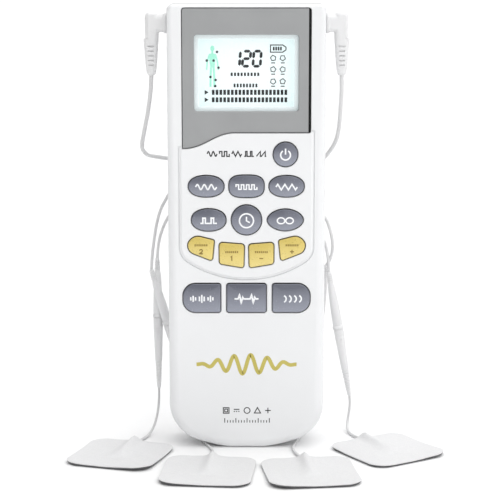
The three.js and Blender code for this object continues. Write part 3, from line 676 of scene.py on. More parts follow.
def wave(shape, width, height, periods, steps=14):
    """A line of (x, z) points about the middle: sine, square, saw or triangle."""
    corners = {
        "square": [(0, 0), (0, 1), (0.5, 1), (0.5, -1), (1, -1), (1, 0)],
        "triangle": [(0, 0), (0.25, 1), (0.75, -1), (1, 0)],
        "saw": [(0, -1), (0.8, 1), (0.8, -1), (1, -1)],
        "pulse": [(0, -1), (0.3, -1), (0.3, 1), (0.6, 1), (0.6, -1), (1, -1)],
        "beat": [(0, 0), (0.3, 0), (0.42, 1), (0.56, -1), (0.68, 0.45), (0.76, 0), (1, 0)],
        "sine": [(i / steps, math.sin(2 * math.pi * i / steps)) for i in range(steps + 1)],
    }[shape]
    line = []
    for i in range(periods):
        for phase, level in corners[0 if i == 0 else 1:]:
            line.append((width * ((i + phase) / periods - 0.5), height / 2 * level))
    return line


def ring_line(radius, start=0.0, end=2 * math.pi, steps=40):
    return [(radius * math.cos(start + (end - start) * i / steps),
             radius * math.sin(start + (end - start) * i / steps)) for i in range(steps + 1)]


def loop_line(radius_x, radius_z=None, steps=40):
    radius_z = radius_x if radius_z is None else radius_z
    return [(radius_x * math.cos(2 * math.pi * i / steps), radius_z * math.sin(2 * math.pi * i / steps))
            for i in range(steps)]


def shifted(line, x, z):
    return [(px + x, pz + z) for px, pz in line]


def bar_row(width, count, fill=0.6):
    """The middles of a row of bars and the width of each."""
    pitch = width / count
    return [pitch * (i + 0.5) - width / 2 for i in range(count)], pitch * fill


def upright(x, low, high):
    return [(x, low), (x, high)]


def symbols():
    """Each symbol is a list of lines: (points about the key's middle, stroke width, closed or not)."""
    gap = math.radians(32)
    top = math.pi / 2
    bars = ((-4.6, 0.7), (-3.6, 1.3), (-2.6, 0.7), (-1.0, 1.0), (0, 1.7), (1.0, 1.0), (2.6, 0.7), (3.6, 1.3),
            (4.6, 0.7))
    burst = [(upright(x, -h, h), 0.62, False) for x, h in bars]
    hooks = [(shifted(ring_line(1.5, -1.15, 1.15, 16), x, 0), 0.62, False) for x in (-3.6, -1.5, 0.6, 2.7)]
    return {
        "power_button": [(ring_line(2.0, top + gap, top + 2 * math.pi - gap), 0.62, False),
                         (upright(0, 0.2, 2.7), 0.62, False)],
        "program_1_button": [(wave("sine", 8.6, 2.1, 3), 0.6, False)],
        "program_2_button": [(wave("square", 8.6, 1.9, 4), 0.5, False)],
        "program_3_button": [(wave("triangle", 8.8, 2.3, 3), 0.6, False)],
        "program_4_button": [(wave("pulse", 6.8, 2.2, 2), 0.62, False)],
        "timer_button": [(loop_line(2.9), 0.62, True), ([(0, 1.7), (0, 0), (1.35, -0.8)], 0.58, False)],
        "continuous_button": [(shifted(loop_line(1.55, 1.25), -1.75, 0), 0.55, True),
                              (shifted(loop_line(1.55, 1.25), 1.75, 0), 0.55, True)],
        "mode_1_button": burst,
        "mode_2_button": [(wave("beat", 10.0, 3.6, 2), 0.66, False)],
        "mode_3_button": hooks,
    }


GOLD_SIGNS = {
    "channel_2_button": "2",
    "channel_1_button": "1",
    "intensity_down_button": "-",
    "intensity_up_button": "+",
}
SIGN_LINES = {
    "1": [[(-0.45, 0.5), (0.05, 0.95), (0.05, -0.95)]],
    "2": [[(-0.6, 0.5), (-0.3, 0.9), (0.25, 0.95), (0.6, 0.55), (0.5, 0.1), (-0.6, -0.9), (0.7, -0.9)]],
    "-": [[(-0.8, 0), (0.8, 0)]],
    "+": [[(-0.8, 0), (0.8, 0)], [(0, -0.8), (0, 0.8)]],
}


def printed(name, lines, depth):
    """Ink on a face, as thin ribbons that follow its depth."""
    ribbons = [ribbon(name, line, width, -PRINT, PRINT, closed, depth) for line, width, closed in lines]
    if len(ribbons) == 1:
        return ribbons[0]
    boolean(ribbons[0], ribbons[1:], "UNION")
    return ribbons[0]


def fine(line, step=0.5):
    """The same line with points no further apart than the step, so that it follows a domed face."""
    points = [line[0]]
    for a, b in zip(line, line[1:]):
        count = max(1, math.ceil(math.dist(a, b) / step))
        points += [(a[0] + (b[0] - a[0]) * i / count, a[1] + (b[1] - a[1]) * i / count)
                   for i in range(1, count + 1)]
    return points


def make_keys(materials):
    lines = symbols()
    for name, outline in KEYS.items():
        gold = name in GOLD_KEYS
        slot = "key_gold" if gold else "key_grey"
        dress(key_cap(name, outline), name, slot, materials[slot], name)
        middle, depth = crowned(grow(outline, -KEY_ROUNDING), key_front(name), KEY_CROWN)
        if gold:
            sign = [(fine(shifted(line, middle[0], middle[1] - 1.3)), 0.42, False)
                    for line in SIGN_LINES[GOLD_SIGNS[name]]]
            centres, width = bar_row(5.6, 7, 0.62)
            rule = [(fine(shifted([(x, -0.42), (x, 0.42)], middle[0], middle[1] + 1.4)), width, False)
                    for x in centres]
            ink = join(name + "_print", [printed("rule", [one], depth) for one in rule]
                       + [printed("sign", sign, depth)])
            dress(ink, name, slot, materials["ink_brown"])
        else:
            marks = [(fine(shifted(line, middle[0], middle[1] - 0.2)), width, closed)
                     for line, width, closed in lines[name]]
            ink = join(name + "_print", [printed("mark", [one], depth) for one in marks])
            dress(ink, name, slot, materials["ink_white"])


# ---------------------------------------------------------------- display
LCD_FRONT = -9.8


def flat_print(name, outlines, face, thickness=PRINT):
    """Ink or a lit segment as thin raised plates on a flat face."""
    return join(name, [plate("mark", outline, [(0, face + PRINT_ROOT), (0, face - thickness)])
                       for outline in outlines])


def seven_segment(digit, left, low, width, height, thick, lean=0.08):
    """The bars of one digit, as outlines, leaning a little to the right."""
    lit = {"0": "abcdef", "1": "bc", "2": "abged"}[digit]
    half, t = height / 2, thick
    bars = {
        "a": (0, height, width, height), "g": (0, half, width, half), "d": (0, 0, width, 0),
        "f": (0, half, 0, height), "e": (0, 0, 0, half), "b": (width, half, width, height),
        "c": (width, 0, width, half),
    }
    outlines = []
    for segment in lit:
        x0, z0, x1, z1 = bars[segment]
        shrink = 0.12 * t
        if z0 == z1:
            shape = [(x0 + shrink, z0), (x0 + shrink + t / 2, z0 - t / 2), (x1 - shrink - t / 2, z0 - t / 2),
                     (x1 - shrink, z0), (x1 - shrink - t / 2, z0 + t / 2), (x0 + shrink + t / 2, z0 + t / 2)]
        else:
            shape = [(x0, z0 + shrink), (x0 + t / 2, z0 + shrink + t / 2), (x0 + t / 2, z1 - shrink - t / 2),
                     (x0, z1 - shrink), (x0 - t / 2, z1 - shrink - t / 2), (x0 - t / 2, z0 + shrink + t / 2)]
        outlines.append([(left + x + lean * z, low + z) for x, z in shape])
    return outlines


def display_symbols():
    """Everything that the display shows in black."""
    face = LCD_FRONT
    outlines = []
    for digit, left in (("1", -5.9), ("2", -1.7), ("0", 2.6)):
        outlines += seven_segment(digit, left, 160.9, 3.0, 6.1, 1.15)
    for low, high in ((149.2, 151.3), (146.2, 148.2)):
        centres, width = bar_row(31.3, 20, 0.7)
        outlines += [rectangle(1.25 + x - width / 2, 1.25 + x + width / 2, low, high, 0.1, 2) for x in centres]
        middle = (low + high) / 2
        outlines.append([(-17.1, middle - 0.95), (-15.5, middle), (-17.1, middle + 0.95)])
    for left, right, low, high, count in ((-6.7, 5.5, 156.9, 158.3, 9), (-5.5, 4.7, 152.3, 153.8, 8)):
        centres, width = bar_row(right - left, count, 0.62)
        middle = (left + right) / 2
        outlines += [rectangle(middle + x - width / 2, middle + x + width / 2, low, high, 0.15, 2)
                     for x in centres]
    centres, width = bar_row(3.9, 4, 0.72)
    outlines += [rectangle(12.6 + x - width / 2, 12.6 + x + width / 2, 167.3, 168.8, 0.1, 2) for x in centres]
    outlines += [oval(x, z, 0.52, 0.52, 2, 20) for x, z in (
        (-12.0, 166.7), (-16.2, 163.2), (-13.4, 163.2), (-11.4, 160.3), (-14.7, 156.5), (-12.6, 155.3),
        (-12.8, 152.8))]
    pieces = [flat_print("bars", outlines, face)]
    case_line = [(9.8, 166.6), (14.8, 166.6), (16.1, 167.5), (16.1, 168.6), (14.8, 169.5), (9.8, 169.5)]
    pieces.append(ribbon("cell", case_line, 0.42, face - PRINT, face + PRINT_ROOT, True))
    for row, z in enumerate((164.2, 159.6, 154.7)):
        for column, x in enumerate((10.9, 14.8)):
            turn = 0.5 + 0.9 * row + 1.7 * column
            shape = [(x + 1.15 * math.cos(turn + k * 1.2566), z + 1.15 * math.sin(turn + k * 1.2566))
                     for k in range(5)]
            pieces.append(ribbon("icon", shape, 0.34, face - PRINT, face + PRINT_ROOT, True))
            pieces.append(ribbon("icon_base", [(x - 0.8, z - 1.95), (x + 0.8, z - 1.95)], 0.4, face - PRINT,
                                 face + PRINT_ROOT))
    return join("display_symbols", pieces)


def display_figure():
    """A plain standing figure with no features, as the map of where the pads go."""
    root, top = LCD_FRONT + PRINT_ROOT, LCD_FRONT - FIGURE_PRINT
    depths = [(0, root), (0, top)]
    middle = -13.9
    body = plate("display_figure", rounded([
        (middle - 0.9, 160.4, 0.3), (middle + 0.9, 160.4, 0.3), (middle + 1.55, 166.0, 0.6),
        (middle - 1.55, 166.0, 0.6)]), depths)
    parts = [plate("head", oval(middle, 168.1, 0.85, 1.15, 2, 28), depths),
             plate("neck", rectangle(middle - 0.4, middle + 0.4, 165.5, 167.4, 0.1, 2), depths)]
    for side in (-1, 1):
        arm = [(middle + side * 1.3, 165.5), (middle + side * 2.1, 162.6), (middle + side * 2.35, 159.4)]
        leg = [(middle + side * 0.5, 161.0), (middle + side * 0.75, 156.6), (middle + side * 0.8, 152.5)]
        parts.append(ribbon("arm", arm, 0.62, top, root))
        parts.append(ribbon("leg", leg, 0.85, top, root))
    return boolean(body, parts, "UNION")


def display_panel():
    """The grey plate round the display, its window bevelled."""
    outline = panel_outline()
    right = PANEL_HALF_WIDTH
    # The panel stops short on the right, so that more of the black sheet shows there as the painted shadow on that
    # side.
    narrowed = [(min(x, right - RIGHT_REVEAL + 0.3), z) for x, z in outline]
    back = PANEL_FRONT + 0.8
    panel = plate("display_panel_skin", narrowed, [(0, back), (0, PANEL_FRONT + 0.2), (-0.06, PANEL_FRONT + 0.06),
                                                   (-0.2, PANEL_FRONT)])
    bevel = [(0.0, back + 1), (0.0, PANEL_FRONT + 0.45), (0.12, PANEL_FRONT + 0.2), (0.4, PANEL_FRONT - 0.01),
             (0.4, PANEL_FRONT - 1)]
    boolean(panel, [plate("window", window_outline(), bevel)])
    merge_flat(panel)
    return even_shading(panel, 12)


def display_gap_shade():
    """A black sheet under the panel that shows in the gap round it: painted shade that stands in for the gap's
    shadow.
    """
    gasket = plate("display_gap_shade", grow(panel_outline(), 0.22), [(0, -11.12), (0, GAP_SHADE_FRONT)])
    return boolean(gasket, [plate("opening", window_outline(1.9), [(0, -10), (0, -12)])])


def display_module():
    """The display's white frame with its glass a little below it."""
    frame_piece = plate("lcd_module_skin", rectangle(-25, 25, 138.6, 177.6, 1.0),
                        [(0, -7.6), (0, -9.9), (-0.2, -10.1)])
    glass_area = rectangle(-19.7, 19.6, 144.3, 172.0, 0.8, 6)
    boolean(frame_piece, [plate("pocket", glass_area, [(-0.1, LCD_FRONT + 0.1), (0.15, -10.1), (0.2, -12)])])
    return even_shading(frame_piece)


def display_glass():
    glass_area = rectangle(-19.5, 19.4, 144.5, 171.8, 0.6, 6)
    return plate("display_glass", glass_area, [(0, LCD_FRONT + 0.08), (0, LCD_FRONT)])


def display_window():
    front = -11.1
    return plate("lcd_window_skin", window_outline(1.6), [(0, front + 0.9), (0, front + 0.15), (-0.15, front)])


# ---------------------------------------------------------------- printed marks on the case
def case_marks(materials):
    """Plain waves, signs and a tick rule where the case is printed: no words."""
    forms = ("sine", "square", "triangle", "pulse", "saw")
    pieces = []
    for i, form in enumerate(forms):
        line = shifted(wave(form, 4.0, 2.0, 2), -14.1 + 5.05 * i, 125.3)
        pieces.append(ribbon("mark", line, 0.5, ISLAND_FRONT - CASE_PRINT, ISLAND_FRONT + PRINT_ROOT))
    dress(join("program_marks", pieces), "root_case", "case_white", materials["ink_black"])
    steps = 150
    packet = []
    for i in range(steps + 1):
        t = i / steps
        packet.append((42 * (t - 0.5), 36.5 + 4.1 * math.sin(math.pi * t) ** 1.5 * math.sin(2 * math.pi * 6 * t)))
    emblem = ribbon("wave_emblem", packet, 1.6, CASE_FRONT - CASE_PRINT, CASE_FRONT + PRINT_ROOT)
    dress(emblem, "root_case", "key_gold", materials["ink_gold"])
    square = [(-1.2, -1.2), (1.2, -1.2), (1.2, 1.2), (-1.2, 1.2)]
    inner = [(0.5 * x, 0.5 * z) for x, z in square]
    triangle = [(-1.3, -1.1), (1.3, -1.1), (0, 1.3)]
    signs = [
        (-8.6, [(square, True), (inner, True)]), (-4.2, [([(-1.2, 0.5), (1.2, 0.5)], False)]),
        (-4.2, [([(x, -0.4), (x + 0.5, -0.4)], False) for x in (-1.2, -0.25, 0.7)]),
        (0.2, [(loop_line(1.25), True)]), (4.6, [(triangle, True)]),
        (9.0, [([(-1.2, 0), (1.2, 0)], False), ([(0, -1.2), (0, 1.2)], False)]),
    ]
    small = []
    for x, sign in signs:
        for line, closed in sign:
            small.append(ribbon("sign", shifted(line, x, 16.5), 0.4, CASE_FRONT - CASE_PRINT,
                                CASE_FRONT + PRINT_ROOT, closed))
    centres, width = bar_row(20.0, 17, 0.3)
    ticks = [rectangle(0.2 + x - width / 2, 0.2 + x + width / 2, 11.2, 13.2 if i % 4 == 0 else 12.3, 0.1, 2)
             for i, x in enumerate(centres)]
    small.append(flat_print("ticks", ticks, CASE_FRONT, CASE_PRINT))
    dress(join("small_signs", small), "root_case", "case_white", materials["ink_black"])


# ---------------------------------------------------------------- plugs, yokes and connectors
def squircle(half_a, half_b, corner, steps=7):
    return rectangle(-half_a, half_a, -half_b, half_b, min(corner, half_a - 0.02, half_b - 0.02), steps)


def plug(side):
    """The moulded right-angled plug: an arm against the case, a barrel and a slotted boot."""
    barrel_sections = [
        (156.5, 1.15, 1.15, 1.1), (156.7, 1.5, 1.5, 1.45), (157.6, 1.9, 1.85, 1.7), (159.5, 2.2, 2.1, 1.8),
        (163, 2.5, 2.35, 1.9), (168.6, 2.85, 2.7, 2.0), (170.2, 3.0, 2.95, 2.0), (173, 3.1, 3.15, 2.0),
        (180.0, 3.2, 3.3, 2.0), (181.5, 2.95, 3.1, 2.0), (182.2, 2.3, 2.5, 1.8), (182.4, 1.5, 1.7, 1.4),
    ]
    x0 = side * PLUG_AXIS_X

    def barrel(name, offset, low, high):
        rings = []
        for z, a, b, corner in barrel_sections:
            if low <= z <= high:
                rings.append([(x0 + x, y, z) for x, y in grow(squircle(a, b, corner), offset)])
        return solid(name, *loft(rings))

    arm_sections = [(32.8, 3.7, 3.5), (33.0, 4.1, 3.8), (33.9, 4.1, 3.8), (34.1, 3.55, 3.4), (34.5, 3.6, 3.4),
                    (39.5, 3.5, 3.2)]
    rings = [[(side * x, y, JACK_HEIGHT - 0.05 + z) for y, z in squircle(b, a, 2.1)] for x, a, b in arm_sections]
    body = barrel(f"plug_body_{'left' if side < 0 else 'right'}_skin", 0.0, 0, 200)
    boolean(body, [solid("arm", *loft(rings))], "UNION")
    soften(body, 0.26, 6)
    grip = block("grip", (side * 42 - 1.55, -5, 171.6), (side * 42 + 1.55, 5, 184))
    boolean(grip, [barrel("core", -0.75, 168, 200)])
    tools = [grip]
    for i in range(5):
        z = 159.9 + 1.95 * i
        half = 0.62 + 0.05 * i
        reach = 2.05 + 0.14 * i
        depth = 0.5
        for across in (-1, 1):
            x = x0 + across * (reach + 1 - depth)
            tools.append(block("slot", (x - 1, -half, z - 0.32), (x + 1, half, z + 0.32)))
            y = across * (reach + 1 - depth)
            tools.append(block("slot", (x0 - half - 0.5, y - 1, z + 0.6), (x0 + half + 0.5, y + 1, z + 1.2)))
    boolean(body, tools, sharp=40)
    return body


def soften(piece, voxel, passes):
    """Blends joined solids into one moulded skin."""
    modifier = piece.modifiers.new("remesh", "REMESH")
    modifier.mode = "VOXEL"
    modifier.voxel_size = voxel * MM
    modifier.use_smooth_shade = True
    smooth = piece.modifiers.new("smooth", "SMOOTH")
    smooth.factor = 0.5
    smooth.iterations = passes
    apply_modifiers(piece)


def direction_frame(start, end):
    """Unit vectors along, across and through a part that lies from start to end."""
    along = (Vector(end) - Vector(start)).normalized()
    across = Vector((0, 1, 0)).cross(along).normalized()
    return along, across, along.cross(across)


def yoke(side_name):
    """The flat moulding where the cord splits in two, widening from the cord end to the split end."""
    start, end = (Vector(p) for p in YOKE[side_name])
    along, across, through = direction_frame(start, end)
    sections = [(-0.5, 0.9, 0.9), (-0.3, 1.1, 1.05), (0.8, 1.3, 1.2), (2.2, 1.5, 1.35), (4.2, 1.75, 1.4),
                (6.4, 2.15, 1.4), (8.2, 2.38, 1.35), (8.8, 2.3, 1.2), (9.15, 2.0, 0.95)]
    rings = []
    for distance, half, thick in sections:
        ring = []
        for a, b in squircle(half, thick, thick * 0.8, 6):
            ring.append(start + along * distance + across * a + through * b)
        rings.append(ring)
    return solid(f"yoke_{side_name}_skin", *loft(rings))


def ribbed(first, last, count, low, high):
    """A run of moulded ribs: (distance, radius) points from first to last, radius low to high between ribs."""
    points = []
    pitch = (last - first) / count
    for i in range(count):
        at = first + pitch * i
        base = low + (high - low) * i / max(1, count - 1)
        points += [(at, base), (at + 0.12 * pitch, base + 0.27), (at + 0.55 * pitch, base + 0.27),
                   (at + 0.67 * pitch, base)]
    return points


def pin_connector(number):
    start, end = LEADS[number]["connector"]
    profile = [(-0.45, 0.68), (-0.35, 0.8), *ribbed(0.3, 4.9, 5, 0.86, 1.02), (5.1, 1.12), (5.8, 1.3), (6.6, 1.5),
               (8, 1.6), (15, 1.92), (23.3, 2.1), (23.5, 2.0), (23.75, 2.0), (23.95, 2.12), (24.3, 2.25),
               (24.5, 2.34), (25.3, 2.35), (25.45, 2.25), (25.5, 2.05), (25.5, 0.95), (34.2, 0.95), (34.5, 0.75)]
    return turned(f"pin_connector_{number}_skin", profile, start, end, 32, 30)


def lead_socket(number):
    start, end = LEADS[number]["connector"]
    mouth = Vector(start) + (Vector(end) - Vector(start)).normalized() * (CONNECTOR_LENGTH + 0.12)
    profile = [(10.4, 0.3), (10.4, 1.2), (0.1, 1.2), (0.0, 1.3), (0.0, 1.95), (0.12, 2.05), (2.6, 2.1), (2.8, 2.0),
               (3.05, 2.0), (3.2, 2.08), (6, 1.98), (12, 1.78), (18.6, 1.56), (18.9, 1.5), (19.1, 1.36),
               *ribbed(19.4, 28.6, 8, 1.22, 0.86), (28.9, 0.92), (30.1, 0.86), (30.7, 0.7), (30.95, 0.5)]
    socket = turned(f"lead_socket_{number}_skin", profile, mouth, end, 32, 30)
    along, across, through = direction_frame(mouth, end)
    slots = []
    for i in range(4):
        for side in (-1, 1):
            centre = mouth + along * (4.6 + 1.5 * i) + through * side * 2.35
            corners = [(-0.35, -0.75, -0.6), (0.35, -0.75, -0.6), (0.35, 0.75, -0.6), (-0.35, 0.75, -0.6)]
            rings = [[centre + along * a + across * b + through * c for a, b, _ in corners] for c in (-0.6, 0.6)]
            slots.append(solid("slot", *loft(rings)))
    return boolean(socket, slots, sharp=30)


# ---------------------------------------------------------------- electrode pads
GEL_THICKNESS = 0.5
CLOTH_THICKNESS = 0.45
RIDGE_LENGTH = 19.0
PAD_CURL = {"1": (0.5, 0.9, 0.5, 0.3), "2": (0.7, 0.4, 0.4, 0.5), "3": (0.9, 0.5, 0.5, 0.4),
            "4": (0.3, 0.8, 0.4, 0.5)}


def pad_heights(number):
    """How high the pad's underside stands at each local (x, y): its corners lift a little."""
    lifts = PAD_CURL[number]
    half = PAD_SIDE / 2

    def under(x, y):
        height = 0.0
        for (sx, sy), lift in zip(((-1, -1), (1, -1), (1, 1), (-1, 1)), lifts):
            reach = (sx * x + sy * y) / (2 * half)
            height += lift * max(0.0, reach - 0.22) ** 2 / 0.35
        return height

    def ridge(x, y):
        """The tent in the cloth over the wire, from the back edge to the middle."""
        along = (half - y) / RIDGE_LENGTH
        if along > 1.25:
            return 0.0
        fade = max(0.0, 1 - along / 1.25) ** 0.6
        spread = 1.7 + 2.2 * (1 - fade)
        return 2.7 * fade * math.exp(-(x / spread) ** 2) + 0.9 * fade * math.exp(-(x / 7.5) ** 2)

    def dimple(x, y):
        wrinkle = math.sin(0.55 * x + 1.3) * math.sin(0.42 * y + 0.7) + 0.5 * math.sin(0.9 * x - 0.7 * y)
        return 0.05 * wrinkle

    return under, ridge, dimple


def pad_outline(inset):
    half = PAD_SIDE / 2 - inset
    return rectangle(-half, half, -half, half, PAD_CORNER - inset / 2, 12)


def pad_disc(name, number, outline, low, high, rounding, shares=26):
    """A soft plate from its middle out along the underside, round the rim and back over the top."""
    x0, y0, turn = LEADS[number]["pad"]
    c, s = math.cos(math.radians(turn)), math.sin(math.radians(turn))
    edge = fine(outline + [outline[0]], 1.2)[:-1]

    def ring(share, height):
        return [(x0 + c * share * x - s * share * y, y0 + s * share * x + c * share * y,
                 height(share * x, share * y)) for x, y in edge]

    steps = [0.02 + 0.975 * math.sin(math.pi / 2 * i / shares) for i in range(shares + 1)]
    rings = [ring(share, low) for share in steps]
    rings.append(ring(1.0, lambda x, y: low(x, y) + rounding))
    rings.append(ring(1.0, lambda x, y: high(x, y) - rounding))
    rings += [ring(share, high) for share in reversed(steps)]
    return solid(name, *loft(rings), 60)


def make_pad(number, materials):
    under, ridge, dimple = pad_heights(number)
    half = PAD_SIDE / 2
    gel = pad_disc(f"electrode_gel_{number}", number, pad_outline(0.25), under,
                   lambda x, y: under(x, y) + GEL_THICKNESS, 0.12, 12)

    def lift(x, y):
        edge = max(abs(x), abs(y)) / half
        settle = 1 - max(0.0, edge - 0.86) / 0.14 * 0.35
        return (ridge(x, y) + max(0.0, dimple(x, y) + 0.05)) * settle

    cloth = pad_disc(f"electrode_pad_{number}_skin", number, pad_outline(0.0),
                     lambda x, y: under(x, y) + GEL_THICKNESS + 0.03 + 0.92 * lift(x, y),
                     lambda x, y: under(x, y) + GEL_THICKNESS + CLOTH_THICKNESS + lift(x, y), 0.15)
    body = LEADS[number]["side"] + "_leads"
    dress(cloth, body, "pad_cloth", materials["pad_cloth"], f"electrode_pad_{number}")
    dress(gel, body, "pad_cloth", materials["pad_gel"])


# ---------------------------------------------------------------- materials
def srgb(*channels):
    """Display values to the linear colour that shaders take."""
    return (*[c / 12.92 if c <= 0.04045 else ((c + 0.055) / 1.055) ** 2.4 for c in channels], 1.0)


class Graph:
    """A material's node tree, with short calls for the few nodes used here."""

    def __init__(self, name):
        self.material = bpy.data.materials.new(name)
        self.material.use_nodes = True
        self.tree = self.material.node_tree
        self.shader = self.tree.nodes["Principled BSDF"]
        self.place = self.node("ShaderNodeTexCoord").outputs["Object"]

    def node(self, kind, **settings):
        made = self.tree.nodes.new(kind)
        for key, value in settings.items():
            setattr(made, key, value)
        return made

    def link(self, source, target):
        self.tree.links.new(source, target)

    def noise(self, scale, detail=3.0, roughness=0.55, stretch=(1.0, 1.0, 1.0)):
        made = self.node("ShaderNodeTexNoise")
        made.inputs["Scale"].default_value = scale
        made.inputs["Detail"].default_value = detail
        made.inputs["Roughness"].default_value = roughness
        mapping = self.node("ShaderNodeMapping")
        mapping.inputs["Scale"].default_value = stretch
        self.link(self.place, mapping.inputs["Vector"])
        self.link(mapping.outputs["Vector"], made.inputs["Vector"])
        return made.outputs["Fac"]

    def spread(self, source, low, high, start=0.3, end=0.7):
        made = self.node("ShaderNodeMapRange")
        made.inputs["From Min"].default_value = start
        made.inputs["From Max"].default_value = end
        made.inputs["To Min"].default_value = low
        made.inputs["To Max"].default_value = high
        self.link(source, made.inputs["Value"])
        return made.outputs["Result"]

    def ramp(self, source, *stops):
        made = self.node("ShaderNodeValToRGB")
        elements = made.color_ramp.elements
        for i, (place, colour) in enumerate(stops):
            element = elements[i] if i < 2 else elements.new(place)
            element.position = place
            element.color = colour
        self.link(source, made.inputs["Fac"])
        return made.outputs["Color"]

    def bump(self, source, strength, distance):
        made = self.node("ShaderNodeBump")
        made.inputs["Strength"].default_value = strength
        made.inputs["Distance"].default_value = distance * MM
        self.link(source, made.inputs["Height"])
        self.link(made.outputs["Normal"], self.shader.inputs["Normal"])

    def axis(self, name, low, high):
        """How far along a frame axis a point is, from 0 at low to 1 at high, in millimetres."""
        split = self.node("ShaderNodeSeparateXYZ")
        self.link(self.place, split.inputs["Vector"])
        return self.spread(split.outputs[name], 0.0, 1.0, low * MM, high * MM)


def surface(name, dark, light, roughness, grain, bump, mottle=60.0, **sockets):
    """A moulded or painted surface: two close colours, varied roughness and a fine bump.
    roughness is (low, high), grain is its scale, and bump is (scale, strength, depth in millimetres)."""
    g = Graph(name)
    g.link(g.ramp(g.noise(mottle), (0.3, dark), (0.7, light)), g.shader.inputs["Base Color"])
    g.link(g.spread(g.noise(grain, 4), *roughness), g.shader.inputs["Roughness"])
    g.bump(g.noise(bump[0], 2), bump[1], bump[2])
    for socket, value in sockets.items():
        g.shader.inputs[socket.replace("_", " ")].default_value = value
    return g.material


def display_glass_material():
    """Pale cyan-white liquid crystal, whiter in the middle, with its faint cell grid."""
    g = Graph("display_glass")
    distance = g.node("ShaderNodeVectorMath", operation="DISTANCE")
    distance.inputs[1].default_value = (0.0, LCD_FRONT * MM, 0.158)
    g.link(g.place, distance.inputs[0])
    tint = g.ramp(g.spread(distance.outputs["Value"], 0, 1, 0.004, 0.024),
                  (0.0, srgb(0.965, 0.995, 1.0)), (1.0, srgb(0.905, 0.98, 0.98)))
    g.link(tint, g.shader.inputs["Base Color"])
    # Painted glow: the glass gives off a faint light of its own tint to brighten it.
    g.link(tint, g.shader.inputs["Emission Color"])
    g.shader.inputs["Emission Strength"].default_value = 0.22
    g.link(g.spread(g.noise(900), 0.22, 0.3), g.shader.inputs["Roughness"])
    checker = g.node("ShaderNodeTexChecker")
    checker.inputs["Scale"].default_value = 2600.0
    g.link(g.place, checker.inputs["Vector"])
    g.bump(checker.outputs["Fac"], 0.04, 0.02)
    return g.material


def key_material(name, dark, light, side, low, high, **sockets):
    """Pearl paint under a clear coat, with painted shade: darker towards each key's top, and dark sides that stand
    in for the shadow in the gap round each key.
    """
    g = Graph(name)
    coordinates = g.node("ShaderNodeTexCoord")
    split = g.node("ShaderNodeSeparateXYZ")
    g.link(coordinates.outputs["Generated"], split.inputs["Vector"])
    # Painted shade: the colour runs from light at the foot of each key to dark at its top, standing in for how
    # light falls on the dome.
    shade = g.ramp(split.outputs["Z"], (0.05, light), (0.9, dark))
    pearl = g.node("ShaderNodeMix", data_type="RGBA", blend_type="SOFT_LIGHT")
    pearl.inputs["Factor"].default_value = 0.08
    g.link(shade, pearl.inputs["A"])
    g.link(g.ramp(g.noise(1800, 3), (0.3, (0.3, 0.3, 0.3, 1.0)), (0.7, (0.7, 0.7, 0.7, 1.0))), pearl.inputs["B"])
    # Painted shade: faces that turn away from the front take the dark side colour, standing in for the shadow in
    # the gap round the key.
    facing = g.node("ShaderNodeSeparateXYZ")
    g.link(coordinates.outputs["Normal"], facing.inputs["Vector"])
    painted = g.spread(facing.outputs["Y"], 1.0, 0.0, -0.75, -0.3)
    edge = g.node("ShaderNodeMix", data_type="RGBA")
    g.link(painted, edge.inputs["Factor"])
    edge.inputs["A"].default_value = side
    g.link(pearl.outputs["Result"], edge.inputs["B"])
    g.link(edge.outputs["Result"], g.shader.inputs["Base Color"])
    g.link(g.spread(g.noise(1500), low, high), g.shader.inputs["Roughness"])
    g.bump(g.noise(2600, 2), 0.03, 0.03)
    for socket, value in sockets.items():
        g.shader.inputs[socket.replace("_", " ")].default_value = value
    return g.material


def board_material():
    """Green solder mask with pale copper tracks."""
    g = Graph("board_green")
    bricks = g.node("ShaderNodeTexBrick")
    for socket, value in (("Scale", 150.0), ("Mortar Size", 0.035), ("Brick Width", 0.9), ("Row Height", 0.22)):
        bricks.inputs[socket].default_value = value
    bricks.inputs["Color1"].default_value = srgb(0.11, 0.36, 0.22)
    bricks.inputs["Color2"].default_value = srgb(0.13, 0.40, 0.25)
    bricks.inputs["Mortar"].default_value = srgb(0.36, 0.58, 0.34)
    turn = g.node("ShaderNodeMapping")
    turn.inputs["Rotation"].default_value = (math.pi / 2, 0.0, 0.0)
    g.link(g.place, turn.inputs["Vector"])
    g.link(turn.outputs["Vector"], bricks.inputs["Vector"])
    g.link(bricks.outputs["Color"], g.shader.inputs["Base Color"])
    g.link(g.spread(g.noise(700), 0.35, 0.5), g.shader.inputs["Roughness"])
    g.bump(bricks.outputs["Fac"], 0.3, 0.04)
    return g.material


def cloth_material():
    """White non-woven cloth: short fibres each way and a soft sheen."""
    g = Graph("pad_cloth")
    fibres = g.noise(2400, 4, 0.65, (1.0, 0.22, 1.0))
    across = g.noise(2400, 4, 0.65, (0.22, 1.0, 1.0))
    mix = g.node("ShaderNodeMath", operation="MAXIMUM")
    g.link(fibres, mix.inputs[0])
    g.link(across, mix.inputs[1])
    g.link(g.ramp(mix.outputs["Value"], (0.4, srgb(0.825, 0.825, 0.83)), (0.75, srgb(0.865, 0.865, 0.865))),
           g.shader.inputs["Base Color"])
    g.link(g.spread(mix.outputs["Value"], 0.75, 0.95), g.shader.inputs["Roughness"])
    g.bump(mix.outputs["Value"], 0.16, 0.08)
    g.shader.inputs["Sheen Weight"].default_value = 0.15
    g.shader.inputs["Specular IOR Level"].default_value = 0.2
    return g.material


def window_material():
    """Clear acrylic: nearly unseen, with its gloss."""
    g = Graph("window_clear")
    g.shader.inputs["Base Color"].default_value = (0.2, 0.24, 0.24, 1.0)
    g.link(g.spread(g.noise(400), 0.03, 0.07), g.shader.inputs["Roughness"])
    g.shader.inputs["Alpha"].default_value = 0.05
    g.bump(g.noise(90, 1), 0.02, 0.05)
    return g.material


